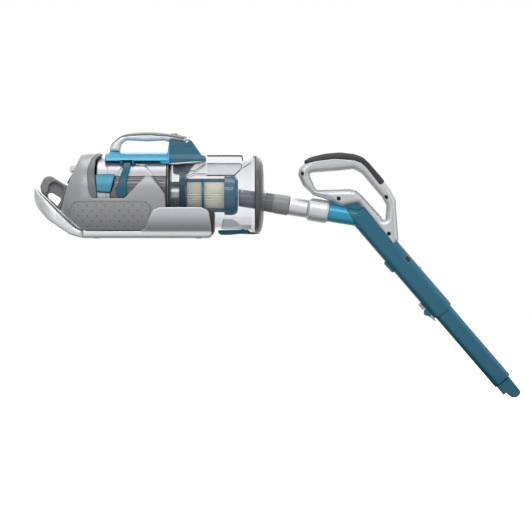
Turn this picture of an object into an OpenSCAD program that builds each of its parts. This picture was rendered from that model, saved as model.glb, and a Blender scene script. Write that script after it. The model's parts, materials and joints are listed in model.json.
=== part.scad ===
// Cordless canister vacuum with a swivelling, telescoping wand.
// Millimetres. The origin is on the flat base under the body, +X points towards the wand,
// +Z is up, and the near side is -Y. The canister's long axis runs along X at axis_z.

/* [Canister] */
// Height of the long axis above the base
axis_z = 86; // [85.8:0.1:86.4]
// Outside radius of the two side shells
shell_r = 86; // [85.6:0.1:86]
// Wall of the side shells
shell_t = 3; // [2:0.5:3.5]
// Outside radius of the motor pod
pod_r = 77; // [76:0.5:77]
// Half width of the flat base
base_half = 50; // [48:1:51]
// Wall of the lower cradle's floor
floor_t = 3; // [2.5:0.5:4]

/* [Dust cup] */
// Outside radius of the clear cup
cup_r = 68; // [67:0.5:68.5]
// Wall of the clear cup
cup_t = 2.5; // [2:0.5:3]
// Outside radius of the door
door_r = 77.5; // [76.5:0.5:78]
// Radius of the pleated filter
pleat_r = 27.5; // [26:0.5:28]
// Number of pleats
pleats = 36; // [24:2:48]

/* [Inlet and swivel] */
// Tilt of the inlet tube below level
tube_tilt = 9.3; // [8:0.1:10]
// Outside radius of the inlet tube
inlet_r = 17.4; // [17:0.1:17.6]
// Radius of the swivel collar
collar_r = 23; // [22:0.5:24]

/* [Wand] */
// Tilt of the wand below level
wand_tilt = 49.3; // [48:0.1:51]
// Width of the outer tube, seen from the side
wand_w = 45; // [44:0.5:46]
// Depth of the outer tube
wand_d = 36; // [35:0.5:37]
// Length of the outer tube beyond the bend
outer_len = 250; // [244:1:252]
// Wall of the outer tube
wand_t = 3; // [2.5:0.5:3]
// Gap between the two tubes, all round
slide_gap = 0.3; // [0.3:0.1:0.5]
// Half depth of the wand handle
handle_half = 20; // [19.5:0.5:21]

/* [Fits] */
// Radial clearance of every running pin
pin_gap = 0.05; // [0.03:0.01:0.08]

/* [Hidden] */
$fn = 64;
big = 400;
cut = 1;                                   // how far a cutting shape runs past a face
seam = 0.15;                               // half gap between paired mouldings

// Colours
grey = [0.50, 0.51, 0.52];
dark = [0.20, 0.21, 0.22];
silver = [0.76, 0.78, 0.80];
blue = [0.13, 0.42, 0.55];
clear = [0.80, 0.86, 0.90, 0.35];

// Places along the long axis
dome_x = -98;                              // where the shells' rear dome begins
dome_r = 70;                               // radius of the dome's turned edge
shell_front = 54;
pod_back = -84;
plate_x = 55;                              // motor side of the pod's front plate
cup_back = 62;
cup_front = 229.5;
door_x = 231;                              // inner face of the door
bow_back = -213;
bow_half = 50;
bow_wall = 8;
cradle_back = -112;
cradle_front = 144;

// Joint places
latch_y = 50.5;
latch_z = 150;
hinge_x = 229;
hinge_z = 162.5;
lever_x = 205;
lever_z = 22.5;
pin_r = 1.5;
spring_back = 54.5;                        // outer face of the seat behind a release button
tube_x = 244;                              // a point on the inlet tube's axis
tube_z = 74;
bend_s = 203.5;                            // distance from that point to the wand's bend
bend_x = tube_x + bend_s * cos(tube_tilt);
bend_z = tube_z - bend_s * sin(tube_tilt);
cuff_end = 54.7;
collar_start = 92.2;
collar_end = 134.8;
inner_start = 200;                         // hidden end of the inner tube, along the wand
inner_end = 430;
tip_end = 472.5;

// Outlines, as [x, z, corner radius]
shell_line = [[-113, 15.5, 6], [-156.5, 52.5, 6], [-143, 98, 60], [-126, 141, 50], [-117, 164, 14],
    [-110, 182, 0], [-74, 182, 0], [-80, 169, 4], [-93.5, 157, 10], [-101, 133, 24], [-98, 95, 20],
    [-92, 79, 5], [-27, 79, 5], [13, 123, 5], [26, 122, 5], [52, 87, 5], [54, 64, 2], [54, 15.5, 0]];
rim_line = [[-80.3, 168.3, 0], [-76.5, 167.5, 0], [-87.5, 155, 10], [-88.7, 130, 20], [-84, 92, 4],
    [-84, 79.5, 0], [-92, 79.5, 3], [-98, 95.5, 20], [-100.8, 133, 24], [-93.2, 157.2, 10]];
panel_line = [[-138, 41, 8], [-131, 71, 12], [14, 71, 6], [25, 61, 4], [16, 16, 4], [-114, 16, 6]];
button_line = [[-86, 125.5, 3], [-46.5, 125.5, 3], [-55.5, 90, 3], [-82, 92, 3]];
paddle_line = [[-31, 150, 2], [-15, 150, 2], [-18, 135, 8], [-23, 114, 10], [-22, 88, 5],
    [-31, 77, 4], [-42, 83, 3], [-45, 90, 3], [-39, 114, 20], [-31, 139, 10]];
skirt_line = [[-112, 0, 0], [-112, 14.5, 0], [2, 14.5, 6], [13, 20, 8], [20, 40, 12], [28, 56, 10],
    [42, 61, 8], [124, 61, 8], [139, 54, 10], [143, 30, 10], [144, 6, 6], [138, 0, 6]];
ring_line = [[134, 3.4, 0], [145, 7, 3], [149, 14, 5], [149, 50, 5], [145, 57, 3], [134, 58, 0]];
bow_line = [[-112.4, 14.3, 0], [-127, 22.5, 20], [-156, 47.5, 40], [-199, 89, 30], [-210, 104, 1],
    [-214, 84, 12], [-204, 61, 30], [-182, 37.5, 40], [-137, 7, 30], [-112.4, 0.3, 0]];
loop_line = [[-156.6, 53.5, 0], [-168, 63, 20], [-196, 91, 12], [-199, 104, 12], [-190, 122, 10],
    [-178, 125, 10], [-149.5, 107.5, 0], [-141.6, 102.8, 0]];
loop_hole = [[-184, 82, 4], [-164, 63.5, 3], [-155.5, 79, 5], [-176, 91.5, 7], [-184.5, 90, 4]];
loop_flare = [[-185, 82, 4], [-178, 76, 4], [-153, 80, 5], [-149.8, 103, 6], [-166, 114, 10],
    [-180, 110, 10]];
vent_line = [[-137.2, 108.6, 0], [-146, 108.6, 2], [-132.5, 131.5, 3], [-127, 133.5, 0]];
back_line = [[-116.8, 164, 0], [-125.6, 141.5, 50], [-142.4, 98.5, 60], [-155.8, 53, 6], [-114, 17.2, 0],
    [-110, 20.5, 0], [-151.5, 55.5, 5], [-138.6, 98, 60], [-121.5, 142, 50], [-113, 163.5, 0]];
socket_line = [[-128.6, 135, 0], [-134, 132, 1], [-140, 132, 2], [-140, 142, 4], [-134, 147, 3], [-124, 147, 0]];
grip_line = [[-60, 172.6, 0], [-60, 178, 8], [-54, 189, 8], [-39, 201, 10], [-20, 204.5, 40],
    [18, 206, 60], [63, 202.6, 60], [89, 197.4, 3], [93, 192, 0], [84, 193.3, 0], [64, 196.3, 0],
    [58, 192.5, 4], [48, 195.5, 10], [14, 193.6, 60], [-27, 196, 12], [-37, 188, 8], [-40, 172.6, 0]];
pad_line = [[-60.6, 178.2, 0], [-55, 190.5, 10], [-40, 203.5, 14], [-27, 208.4, 30], [0, 211.8, 60],
    [32, 211.8, 60], [80, 206.8, 60], [93, 203, 3], [95.5, 199, 1.5], [89.5, 197.8, 0], [63, 203, 60],
    [18, 206.4, 60], [-20, 204.9, 40], [-39, 201.4, 10], [-54, 189.4, 8], [-60, 178.4, 0]];
block_line = [[40, 155, 2], [43, 147.5, 4], [72, 146, 10], [107, 149, 20], [131.5, 153.5, 3],
    [131.5, 164, 3], [124, 166, 3], [102, 197, 3], [93.5, 191, 3], [84, 193, 10], [64, 196, 3],
    [58.6, 192.3, 3], [56, 173, 2], [56, 160, 0]];
block_face = [[-51, 144, 0], [51, 144, 0], [48, 158, 4], [36, 166, 6], [22, 185, 10], [17, 198, 0],
    [-17, 198, 0], [-22, 185, 10], [-36, 166, 6], [-48, 158, 4]];
duct_line = [[134, 126.3, 0], [190, 126.3, 6], [203, 139, 6], [202, 150, 3], [134, 150, 0]];
latch_box_line = [[163, 18.2, 0], [166, 38.5, 2], [185.5, 38.5, 3], [201, 27, 3], [221.5, 27, 1],
    [221.5, 18.2, 0]];
lever_line = [[156, 16.5, 2], [157, 10, 2], [162, 7, 2], [180, 7, 20], [201, 9, 20], [226, 8, 6],
    [238, 9, 2], [238, 12.6, 1.5], [221, 12.6, 3], [216, 17.6, 2]];
// Outlines of the wand handle, outside and hole
handle_line = [[316, 127, 10], [319, 141, 12], [329.5, 151, 6], [354, 157, 60], [389, 161.3, 80],
    [429, 158, 30], [444, 152, 18], [455, 142, 14], [480.5, 109, 1], [487.5, 114, 1],
    [499, 99, 20], [511, 78, 24], [512, 60, 40], [517, -4, 6], [507, -20, 5], [499, -12, 4],
    [472, 24, 30], [436, 69, 3], [416, 65.5, 16], [403, 62.5, 16], [383, 73, 24], [366, 81, 30],
    [348, 85, 20], [326, 105, 14]];
handle_hole = [[338, 129, 4], [345, 131.5, 4], [403, 136, 60], [427, 139, 14], [444, 129, 16],
    [484, 82, 16], [492.5, 66, 10], [491, 38, 4], [484, 38, 4], [481, 45, 6], [443, 87, 20],
    [431, 97, 12], [419, 99, 20], [352, 97, 8]];
handle_pad = [[329, 151.5, 0], [328.5, 155.5, 2], [341, 162.5, 14], [370, 169.5, 60], [400, 172, 60],
    [429, 168.5, 30], [445, 162.5, 16], [457, 152, 20], [488.4, 115.4, 1.5],
    [480.9, 109.9, 0.5], [455.3, 142.4, 14], [444.3, 152.4, 18], [429.2, 158.4, 30],
    [389, 161.7, 80], [354, 157.4, 60]];
hollow_line = [for (p = handle_line) if (p[2] > 2) p];
// Screws of the handle, as [x, z, y of the tip]
handle_screw_at = [[324, 129, 12], [397, 79, 12], [491.5, 82, 12], [497, 9, -14.9]];
// Outlines along the wand, as [distance from the bend, height across, corner radius]
tip_line = [[430.5, -16.5, 0], [451, -17, 1], [453, -16, 1], [451, -10.5, 1], [455, -10, 1],
    [466.5, -8, 4], [472.5, -1, 5], [472.5, 8, 5], [468, 13.5, 4], [430.5, 15, 0]];
tip_hollow = [[423, -11.5, 0], [448, -12, 0], [452, -6, 0], [470, -5, 3], [470, 6, 4], [466, 10.5, 3],
    [423, 10.5, 0]];
catch_line = [[203, -22.8, 0], [205, -29, 1.5], [218.6, -29, 1.5], [218.6, -22.8, 0]];
bump_line = [[219.4, -21.5, 0], [221, -28, 3], [226, -32.5, 3], [229.5, -32, 2], [236, -28, 2],
    [252, -25, 1.5], [249, -21.5, 0]];

// Profiles turned about the long axis, as [x, radius]
cup_line = [[cup_back, cup_r - 2], [150, cup_r], [206, cup_r], [218, cup_r + 5], [226, cup_r + 8.5],
    [cup_front, cup_r + 8.5]];
door_line = [[door_x, 0], [door_x, door_r - 1], [door_x + 1.5, door_r], [door_x + 6, door_r - 0.5],
    [door_x + 11, door_r - 6], [door_x + 15, door_r - 18], [door_x + 17, door_r - 40], [door_x + 17, 0]];
door_hollow = [[door_x - cut, 0], [door_x - cut, door_r - 8.5], [door_x + 4, door_r - 8.5],
    [door_x + 8.5, door_r - 12], [door_x + 12, door_r - 22], [door_x + 14, door_r - 42], [door_x + 14, 0]];
// Battery cell places, as [x, z], and the section of the inner tube
cell_at = [for (row = [-2:2], col = [0, 1]) [-66 + 19 * col, axis_z + 19 * row]];
inner_w = wand_w - 2 * wand_t - 2 * slide_gap;
inner_d = wand_d - 2 * wand_t - 2 * slide_gap;

// A unit vector, and the points that round one corner of an outline
function unit(v) = v / norm(v);
function corner(a, b, c, r, n) = let (u = unit(a - b), v = unit(c - b),
    half = acos(max(-1, min(1, u * v))) / 2)
    (r == 0 || half > 89.5) ? [b] :
    let (o = b + unit(u + v) * r / sin(half), p = b + u * r / tan(half) - o, q = b + v * r / tan(half) - o,
        from = atan2(p.y, p.x), turn = atan2(p.x * q.y - p.y * q.x, p * q))
    [for (i = [0:n]) o + r * [cos(from + turn * i / n), sin(from + turn * i / n)]];
function xy(p) = [p.x, p.y];
function rounded(line, n = 4) = let (k = len(line)) [for (i = [0:k - 1])
    each corner(xy(line[(i + k - 1) % k]), xy(line[i]), xy(line[(i + 1) % k]), line[i][2], n)];
// An outline moved sideways by d, inwards on an anticlockwise outline
function shifted(p, d) = let (k = len(p)) [for (i = [0:k - 1])
    let (t = unit(p[(i + 1) % k] - p[(i + k - 1) % k])) p[i] + d * [-t.y, t.x]];

// Placing helpers
module on_axis(x = 0) translate([x, 0, axis_z]) rotate([0, 90, 0]) children();
module on_tube() translate([tube_x, 0, tube_z]) rotate([0, tube_tilt, 0]) children();
module on_wand() translate([bend_x, 0, bend_z]) rotate([0, wand_tilt, 0]) children();
module rod_on_axis(x0, x1, r) on_axis(x0) cylinder(r = r, h = x1 - x0, $fn = 96);
module pipe_on_axis(x0, x1, r, bore) difference() {
    rod_on_axis(x0, x1, r);
    rod_on_axis(x0 - cut, x1 + cut, bore);
}
module slab(y0, y1) translate([0, y1, 0]) rotate([90, 0, 0]) linear_extrude(y1 - y0) children();
module plate(line, y0, y1) slab(y0, y1) polygon(rounded(line));
module run_x(x0, x1) translate([x0, 0, 0]) rotate([90, 0, 90]) linear_extrude(x1 - x0) children();
module rod_x(x0, x1, r) translate([x0, 0, 0]) rotate([0, 90, 0]) cylinder(r = r, h = x1 - x0);
module rod_y(x, z, half, r) translate([x, half, z]) rotate([90, 0, 0]) cylinder(r = r, h = 2 * half);
module rod_y_from(x, z, y0, y1, r) translate([x, y1, z]) rotate([90, 0, 0]) cylinder(r = r, h = y1 - y0);
module pipe_x(x0, x1, r, bore) difference() {
    rod_x(x0, x1, r);
    rod_x(x0 - cut, x1 + cut, bore);
}
module on_side(side) if (side < 0) children(); else mirror([0, 1, 0]) children();
// Turns an outline of [x, radius] pairs about the long axis
module turned(line) on_axis() rotate_extrude() polygon([for (p = line) [p.y, p.x]]);
// Cross-section of the wand's tubes: a rectangle with round corners
function soft_box(w, d, r) =
    rounded([[-w / 2, -d / 2, r], [w / 2, -d / 2, r], [w / 2, d / 2, r], [-w / 2, d / 2, r]], 6);
module wand_bar(x0, x1, w, d, r) translate([x0, 0, 0]) rotate([0, 90, 0])
    linear_extrude(x1 - x0) polygon(soft_box(w, d, r));

// Solid of revolution of the side shells, inset from the outside face
module shell_round(inset, front) on_axis() rotate_extrude() intersection() {
    union() {
        translate([0, dome_x]) square([shell_r - inset, front - dome_x]);
        translate([shell_r - dome_r, dome_x]) circle(r = dome_r - inset, $fn = 96);
        translate([0, dome_x - dome_r + inset]) square([shell_r - dome_r, dome_r - inset]);
    }
    translate([0, -big]) square([big, 2 * big]);
}

// ---- Cradle and rear ----
module lower_cradle() color(silver) difference() {
    intersection() {
        union() {
            rod_on_axis(cradle_back, cradle_front, shell_r + 2.2);
            run_x(cradle_back, cradle_front) polygon(rounded([[-base_half, 0, 6], [base_half, 0, 6],
                [base_half, 22, 0], [-base_half, 22, 0]]));
        }
        plate(skirt_line, -big / 2, big / 2);
    }
    intersection() {
        union() {
            rod_on_axis(cradle_back - cut, cradle_front + cut, shell_r + 0.3);
            run_x(cradle_back - cut, cradle_front + cut) square([2 * base_half - 6, 60], center = true);
        }
        translate([cradle_back + 2.5, -big / 2, floor_t]) cube(big);
    }
    foot_places() translate([0, 0, -cut]) cylinder(r = 6.2, h = 1.5 + cut);
    screw_places() {
        translate([0, 0, -cut]) cylinder(r = 3.4, h = 1.6 + cut);
        cylinder(r = 1.7, h = floor_t + cut);
    }
}
module cup_cradle_ring() color(dark) intersection() {
    pipe_on_axis(134, 149, shell_r - 0.4, cup_r + 1.4);
    plate(ring_line, -big / 4, big / 4);
}
module foot_places() for (x = [-86, 118], y = [-34, 34]) translate([x, y, 0]) children();
module screw_places() for (x = [-60, 84], y = [-22, 22]) translate([x, y, 0]) children();
module base_feet() color(dark) foot_places() cylinder(r = 6, h = 1.4);
module cradle_screws() color(silver) screw_places() {
    translate([0, 0, 0.4]) cylinder(r = 2.8, h = 1.2);
    translate([0, 0, 1.5]) cylinder(r = 1.5, h = 7.8);
}
module rear_bow() color(silver) intersection() {
    plate(bow_line, -bow_half - cut, bow_half + cut);
    difference() {
        bow_plan(bow_half);
        bow_plan(bow_half - bow_wall);
    }
}
module bow_plan(half) translate([0, 0, -cut]) {
    translate([bow_back + bow_half, 0, 0]) cylinder(r = half, h = 120, $fn = 96);
    translate([bow_back + bow_half, -half, 0]) cube([120, 2 * half, 120]);
}
module rear_grip_loop() color(dark) difference() {
    plate(loop_line, -20, 20);
    plate(loop_hole, -30, 30);
    for (side = [-1, 1]) on_side(side) plate(loop_flare, -30, -9);
}
module rear_vent_grille() color(dark) {
    difference() {
        union() {
            intersection() {
                plate(back_line, -big / 4, big / 4);
                shell_round(shell_t + 0.2, shell_front);
            }
            plate(vent_line, -24, 24);
        }
        for (i = [-3:3]) translate([-160, i * 6 - 1.6, 111]) cube([50, 3.2, 18]);
    }
}
module charge_socket() color(silver) difference() {
    plate(socket_line, -13, 13);
    translate([-141, 0, 137]) rotate([0, 90, 0]) cylinder(r = 2.75, h = 11);
}

// ---- Side shells and their panels ----
module body_shell(side) on_side(side) difference() {
    intersection() {
        difference() {
            shell_round(0, shell_front);
            shell_round(shell_t, shell_front + cut);
        }
        plate(shell_line, -big / 2, -seam);
    }
    panel_round(-0.2, 1.7);
}
module panel_round(inset, depth) intersection() {
    difference() {
        shell_round(-1, shell_front);
        shell_round(depth, shell_front);
    }
    slab(-big / 2, -20) polygon(shifted(rounded(panel_line), -inset));
}
module body_shell_near() color(grey) body_shell(-1);
module body_shell_far() color(grey) body_shell(1);
module exhaust_panel(side) on_side(side) intersection() {
    difference() {
        shell_round(0, shell_front);
        shell_round(1.6, shell_front + cut);
    }
    slab(-big / 2, -20) polygon(rounded(panel_line));
}
module exhaust_panel_near() color(grey) exhaust_panel(-1);
module exhaust_panel_far() color(grey) exhaust_panel(1);
module shell_rim() color(dark) intersection() {
    difference() {
        rod_on_axis(-110, -70, shell_r - 0.6);
        rod_on_axis(-110 - cut, -70 + cut, pod_r + 0.8);
    }
    plate(rim_line, -big / 2, big / 2);
}

// ---- Motor pod ----
module button_cutter(grow, y0, y1) slab(y0, y1) polygon(shifted(rounded(button_line), grow));
module motor_pod() color(silver) difference() {
    union() {
        difference() {
            rod_on_axis(pod_back, plate_x - 0.2, pod_r);
            rod_on_axis(pod_back + 3, plate_x + cut, pod_r - 3);
        }
        for (side = [-1, 1]) on_side(side) {
            latch_ears();
            button_bracket();
        }
    }
    for (side = [-1, 1]) on_side(side) {
        button_cutter(0.5, -big / 4, -spring_back - 0.4);
        translate([0, -latch_y, latch_z]) rod_x(-38, -8, pin_r + 0.02);
    }
    for (k = [-3:3]) translate([pod_back - cut, k * 12 - 3, axis_z + 20]) cube([6, 6, 34]);
}
module latch_ears() for (x = [-37, -13.6]) intersection() {
    translate([x, 0, 0]) hull_free_ear();
    rod_on_axis(-60, 20, shell_r);
}
module hull_free_ear() {
    translate([0, -latch_y, latch_z]) rod_x(0, 4.6, 3.4);
    translate([0, -latch_y - 3.4, latch_z - 9]) cube([4.6, 6.8, 9]);
}
module button_bracket() intersection() {
    union() {
        translate([-80, -spring_back, 87]) cube([28, 2, 43]);
        for (z = [87, 128]) translate([-80, -big / 4, z]) cube([28, big / 4 - spring_back + 2, 2]);
    }
    rod_on_axis(-82, -50, pod_r - 2.9);
}
module pod_front_plate() color(dark) difference() {
    rod_on_axis(plate_x, plate_x + 4, pod_r);
    rod_on_axis(plate_x - cut, plate_x + 5, 24);
}
module premotor_grille() color(dark) on_axis(plate_x + 4.2) difference() {
    union() {
        cylinder(r = 57, h = 3);
        cylinder(r = 28 - pin_gap, h = 26);
    }
    translate([0, 0, 3]) cylinder(r = 25, h = 30);
    for (a = [0:40:320]) rotate(a) translate([16, 0, -cut]) cylinder(r = 4.5, h = 6);
    translate([0, 0, -cut]) cylinder(r = 5, h = 6);
}
module release_button(side) on_side(side) intersection() {
    difference() {
        rod_on_axis(-95, -40, 84);
        rod_on_axis(-96, -39, 70.5);
    }
    plate(button_line, -big / 4, -20);
}
module release_button_near() color(blue) release_button(-1);
module release_button_far() color(blue) release_button(1);
module button_spring(side) on_side(side) translate([-68, -spring_back, 108]) rotate([90, 0, 0]) difference() {
    cylinder(r = 5, h = 10);
    translate([0, 0, -cut]) cylinder(r = 3.6, h = 12);
}
module button_spring_near() color(silver) button_spring(-1);
module button_spring_far() color(silver) button_spring(1);
module side_latch(side) on_side(side) difference() {
    union() {
        intersection() {
            difference() {
                rod_on_axis(-60, 0, 82.6);
                rod_on_axis(-61, 1, pod_r + 0.6);
            }
            plate(paddle_line, -big / 4, -20);
        }
        translate([0, -latch_y, latch_z]) rod_x(-31.6, -14.4, 3);
    }
    translate([0, -latch_y, latch_z]) {
        rod_x(-34, -12, pin_r + pin_gap);
        // room for the pod as the paddle swings out
        for (a = [8:8:32]) rotate([a, 0, 0]) translate([0, latch_y, -latch_z])
            rod_on_axis(-61, 1, pod_r + 0.35);
    }
}
module side_latch_near() color(blue) side_latch(-1);
module side_latch_far() color(blue) side_latch(1);
module latch_pins() color(silver) for (side = [-1, 1]) on_side(side)
    translate([0, -latch_y, latch_z]) rod_x(-36.6, -9.4, pin_r);

// ---- Carry handle ----
module handle_base() color(blue) difference() {
    union() {
        intersection() {
            rod_on_axis(-68, 57, shell_r + 0.5);
            plate([[-68, 153, 8], [56.5, 153, 0], [56.5, 190, 0], [-68, 190, 0]], -52, 52);
        }
        intersection() {
            plate(block_line, -60, 60);
            run_x(30, 140) polygon(rounded(block_face));
        }
        translate([-62, -15, 160]) cube([24, 30, 12.5]);
    }
    rod_on_axis(-80, 60, pod_r + 0.3);
    rod_on_axis(59, 150, cup_r + 1.5);
    intersection() {
        rod_on_axis(-62, 50, shell_r - 3);
        translate([-62, -40, 150]) cube([112, 80, 40]);
    }
    run_x(68, 112) polygon([[-26, 140], [26, 140], [15, 182], [-15, 182]]);
    for (side = [-1, 1]) on_side(side) translate([-39, -60, 140]) cube([31, 22, 16.5]);
}
module carry_grip() color(silver) difference() {
    plate(grip_line, -13, 13);
    plate([[-16, 200, 0], [-16, 197.5, 0], [44, 198, 0], [44, 202, 0]], -9, 9);
}
module carry_grip_overmold() color(grey) difference() {
    plate(pad_line, -14, 14);
    translate([58, -6.5, 205]) cube([26, 13, 8]);
}
module power_switch() color(dark)
    plate([[60, 205.3, 0], [76, 205.3, 0], [75, 209.6, 1.5], [61, 209.6, 1.5]], -6, 6);

// ---- Inside the pod ----
module battery_cells() color([0.2, 0.5, 0.3]) for (c = cell_at) rod_y(c.x, c.y, 32.5, 9.1);
module battery_tray() color(dark) for (side = [-1, 1]) on_side(side) difference() {
    translate([-76.5, -36, axis_z - 48.5]) cube([40, 8, 97]);
    for (c = cell_at) translate([c.x, -20, c.y]) rotate([90, 0, 0]) cylinder(r = 9.2, h = 12.7);
}
module circuit_board() color([0.1, 0.35, 0.2]) {
    translate([-66, -32, 146]) cube([92, 64, 1.6]);
    for (x = [-58, 18], y = [-26, 26]) translate([x, y, 147.6]) cylinder(r = 2.4, h = 6);
    for (x = [-22, -8, 6]) translate([x, 14, 136]) cylinder(r = 5, h = 10);
    translate([-50, -16, 139]) cube([24, 30, 7]);
    translate([-18, -26, 141]) cube([14, 20, 5]);
}
module motor_can() color(silver) on_axis(-26) difference() {
    cylinder(r = 41, h = 59.5);
    translate([0, 0, 3]) cylinder(r = 39, h = 50);
    translate([0, 0, -cut]) cylinder(r = 8, h = 70);
    translate([0, 0, 50]) cylinder(r = 11, h = 20);
    translate([0, 0, -cut]) cylinder(r = 11, h = 8);
    for (a = [0:60:300]) rotate(a) translate([26, 0, -cut]) cylinder(r = 6, h = 70);
}
module motor_stator() color([0.5, 0.32, 0.2]) on_axis(-14) difference() {
    cylinder(r = 38.9, h = 32);
    translate([0, 0, -cut]) cylinder(r = 25, h = 40);
}
module motor_bearings() color(silver) for (x = [-26, 26.2]) on_axis(x) difference() {
    cylinder(r = 11, h = 7);
    translate([0, 0, -cut]) cylinder(r = 4 + pin_gap, h = 9);
}
module motor_rotor() color([0.45, 0.4, 0.35]) {
    rod_on_axis(-30, 49, 4);
    rod_on_axis(-12, 16, 24);
}
module fan_impeller() color(grey) on_axis(39) difference() {
    union() {
        cylinder(r = 50, h = 2);
        cylinder(r = 9, h = 9.5);
        for (a = [0:40:320]) rotate(a) translate([24, 12, 1]) rotate(32) translate([-14, -1, 0])
            cube([30, 2, 8]);
    }
    translate([0, 0, -cut]) cylinder(r = 4.01, h = 20);
}
module fan_housing() color(dark) on_axis(34) difference() {
    cylinder(r = 60, h = 20.8);
    translate([0, 0, 2.5]) cylinder(r = 57.5, h = 16);
    translate([0, 0, 10]) cylinder(r = 23, h = 20);
    translate([0, 0, -cut]) cylinder(r = 12, h = 6);
    for (a = [0:30:330]) rotate(a) translate([50, 0, -cut]) cylinder(r = 5, h = 5);
}

// ---- Filter ----
module filter_frame() color(blue) {
    pipe_on_axis(79, 94, 34.5, 28);
    pipe_on_axis(124, 129, 34.5, pleat_r + 0.3);
    for (side = [-1, 1]) intersection() {
        pipe_on_axis(93.5, 168.8, 34, pleat_r + 0.3);
        translate([80, -9, axis_z + (side > 0 ? 20 : -40)]) cube([100, 18, 20]);
    }
}
module pleated_filter() color([0.8, 0.78, 0.72]) on_axis(94.2) difference() {
    linear_extrude(74.6) polygon([for (i = [0:2 * pleats - 1])
        let (r = i % 2 == 0 ? pleat_r : pleat_r - 4.5) r * [cos(180 * i / pleats), sin(180 * i / pleats)]]);
    translate([0, 0, -cut]) cylinder(r = 18, h = 80);
}
module filter_end_cap() color(blue) difference() {
    turned([[169, 0], [169, 39.6], [186, 39.6], [190.5, 38.4], [194, 35.5], [196, 31], [196, 0]]);
    turned([[172, 0], [172, 37], [186, 37], [190, 35.6], [193, 31], [193, 0]]);
    rod_on_axis(168, 173, 18);
}

// ---- Dust cup ----
function cup_inside(back, front) = concat([[back, 0]], [[back, cup_line[0].y - cup_t]],
    [for (i = [1:4]) [cup_line[i].x, cup_line[i].y - cup_t - (i == 4 ? 0.5 : 0)]],
    [[front, cup_line[5].y - cup_t - 0.5], [front, 0]]);
module dust_cup() color(clear) difference() {
    union() {
        turned(concat([[cup_back, 0]], cup_line, [[cup_front, 0]]));
        plate([[133, 130, 0], [206, 130, 0], [206, 163, 3], [203, 166, 3], [133, 166, 2]], -20, 20);
        for (side = [-1, 1]) on_side(side) {
            rod_y_from(hinge_x, hinge_z, -17, -13, 3);
            translate([hinge_x - 3, -17, hinge_z - 6]) cube([3.5, 4, 6]);
        }
    }
    difference() {
        turned(cup_inside(cup_back - cut, cup_front + cut));
        translate([150.8, -19.2, 0]) cube([73.4, 38.4, 43.2]);
    }
    plate([[135.5, 140, 0], [203.5, 140, 0], [203.5, 161.5, 2], [201, 163.5, 2], [135.5, 163.5, 1]], -17.5, 17.5);
    translate([153, -17, -cut]) cube([69, 34, 41 + cut]);
    translate([hinge_x - 4.5, -13, hinge_z - 3.2]) cube([9, 26, 10]);
    translate([214, -10, 0]) cube([20, 20, 13]);
    rod_y(hinge_x, hinge_z, 30, pin_r + 0.01);
}
module cup_seal() color(dark) pipe_on_axis(plate_x + 4.2, cup_back - 0.1, 66.5, 60);
module inner_duct() color(clear) difference() {
    plate(duct_line, -13, 13);
    plate([[133, 128.3, 0], [189, 128.3, 5], [201, 140, 5], [200, 148, 2], [133, 148, 0]], -11, 11);
}
module latch_housing() color(grey) difference() {
    plate(latch_box_line, -16, 16);
    plate([[150, 17, 0], [150, 27, 0], [166.5, 27, 0], [168, 35.5, 0], [185, 35.5, 0], [201, 26, 0],
        [219, 26, 0], [219, 17, 0]], -10, 10);
    rod_y(lever_x, lever_z, 30, pin_r + 0.01);
}
module cup_latch() color(blue) difference() {
    union() {
        plate(lever_line, -9, 9);
        rod_y(lever_x, lever_z, 9, 3);
        translate([lever_x - 3, -9, 15]) cube([6, 18, lever_z - 15]);
    }
    rod_y(lever_x, lever_z, 30, pin_r + pin_gap);
}
module cup_latch_pin() color(silver) rod_y(lever_x, lever_z, 15.5, pin_r);

// ---- Door and inlet ----
module door_panel() color(clear) difference() {
    union() {
        difference() {
            turned(door_line);
            turned(door_hollow);
        }
        on_tube() rod_x(-12, 3, inlet_r + 3);
        rod_y(hinge_x, hinge_z, 12.7, 2.8);
        translate([hinge_x, -12.7, hinge_z - 2.8]) cube([5, 25.4, 4.4]);
    }
    on_tube() {
        rod_x(-40, 40, inlet_r + 0.02);
        rod_x(4, 40, 20.4);
    }
    rod_y(hinge_x, hinge_z, 30, pin_r + pin_gap);
    for (side = [-1, 1]) on_side(side) rod_y_from(hinge_x, hinge_z, -17.4, -12.8, 3.4);
    translate([door_x - cut, -9.6, 0]) cube([8.5, 19.2, 13.2]);
    translate([door_x - 20, -30, 0]) cube([19.9, 60, 60]);
}
module door_seal() color(dark) pipe_on_axis(cup_front + 0.1, door_x - 0.1, 72.5, 70);
module door_hinge_pin() color(silver) rod_y(hinge_x, hinge_z, 17, pin_r);
module inlet_tube() color(dark) on_tube() pipe_x(-42, 22, inlet_r, inlet_r - 2);
module hose_cuff() color(grey) on_tube() difference() {
    rotate([0, 90, 0]) rotate_extrude() polygon([[0, 4.2], [19.3, 4.2], [19.3, 26], [20, 30],
        [20, cuff_end - 0.3], [0, cuff_end - 0.3]]);
    rod_x(0, 22.5, inlet_r + 0.02);
    rod_x(20, cuff_end + cut, 15.5);
}
module swivel_cuff() color(silver) on_tube() difference() {
    union() {
        rod_x(cuff_end, collar_start, 18.5);
        rod_x(cuff_end - 16, cuff_end + cut, 15.5 - pin_gap);
    }
    rod_x(0, big / 2, 13.2);
}
module swivel_collar() color(silver) on_tube() difference() {
    rotate([0, 90, 0]) rotate_extrude() polygon([[0, collar_start + 0.1], [19.5, collar_start + 0.1],
        [collar_r, collar_start + 5], [collar_r, collar_end - 4], [collar_r - 2, collar_end], [0, collar_end]]);
    rod_x(0, big / 2, 16);
}

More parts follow.
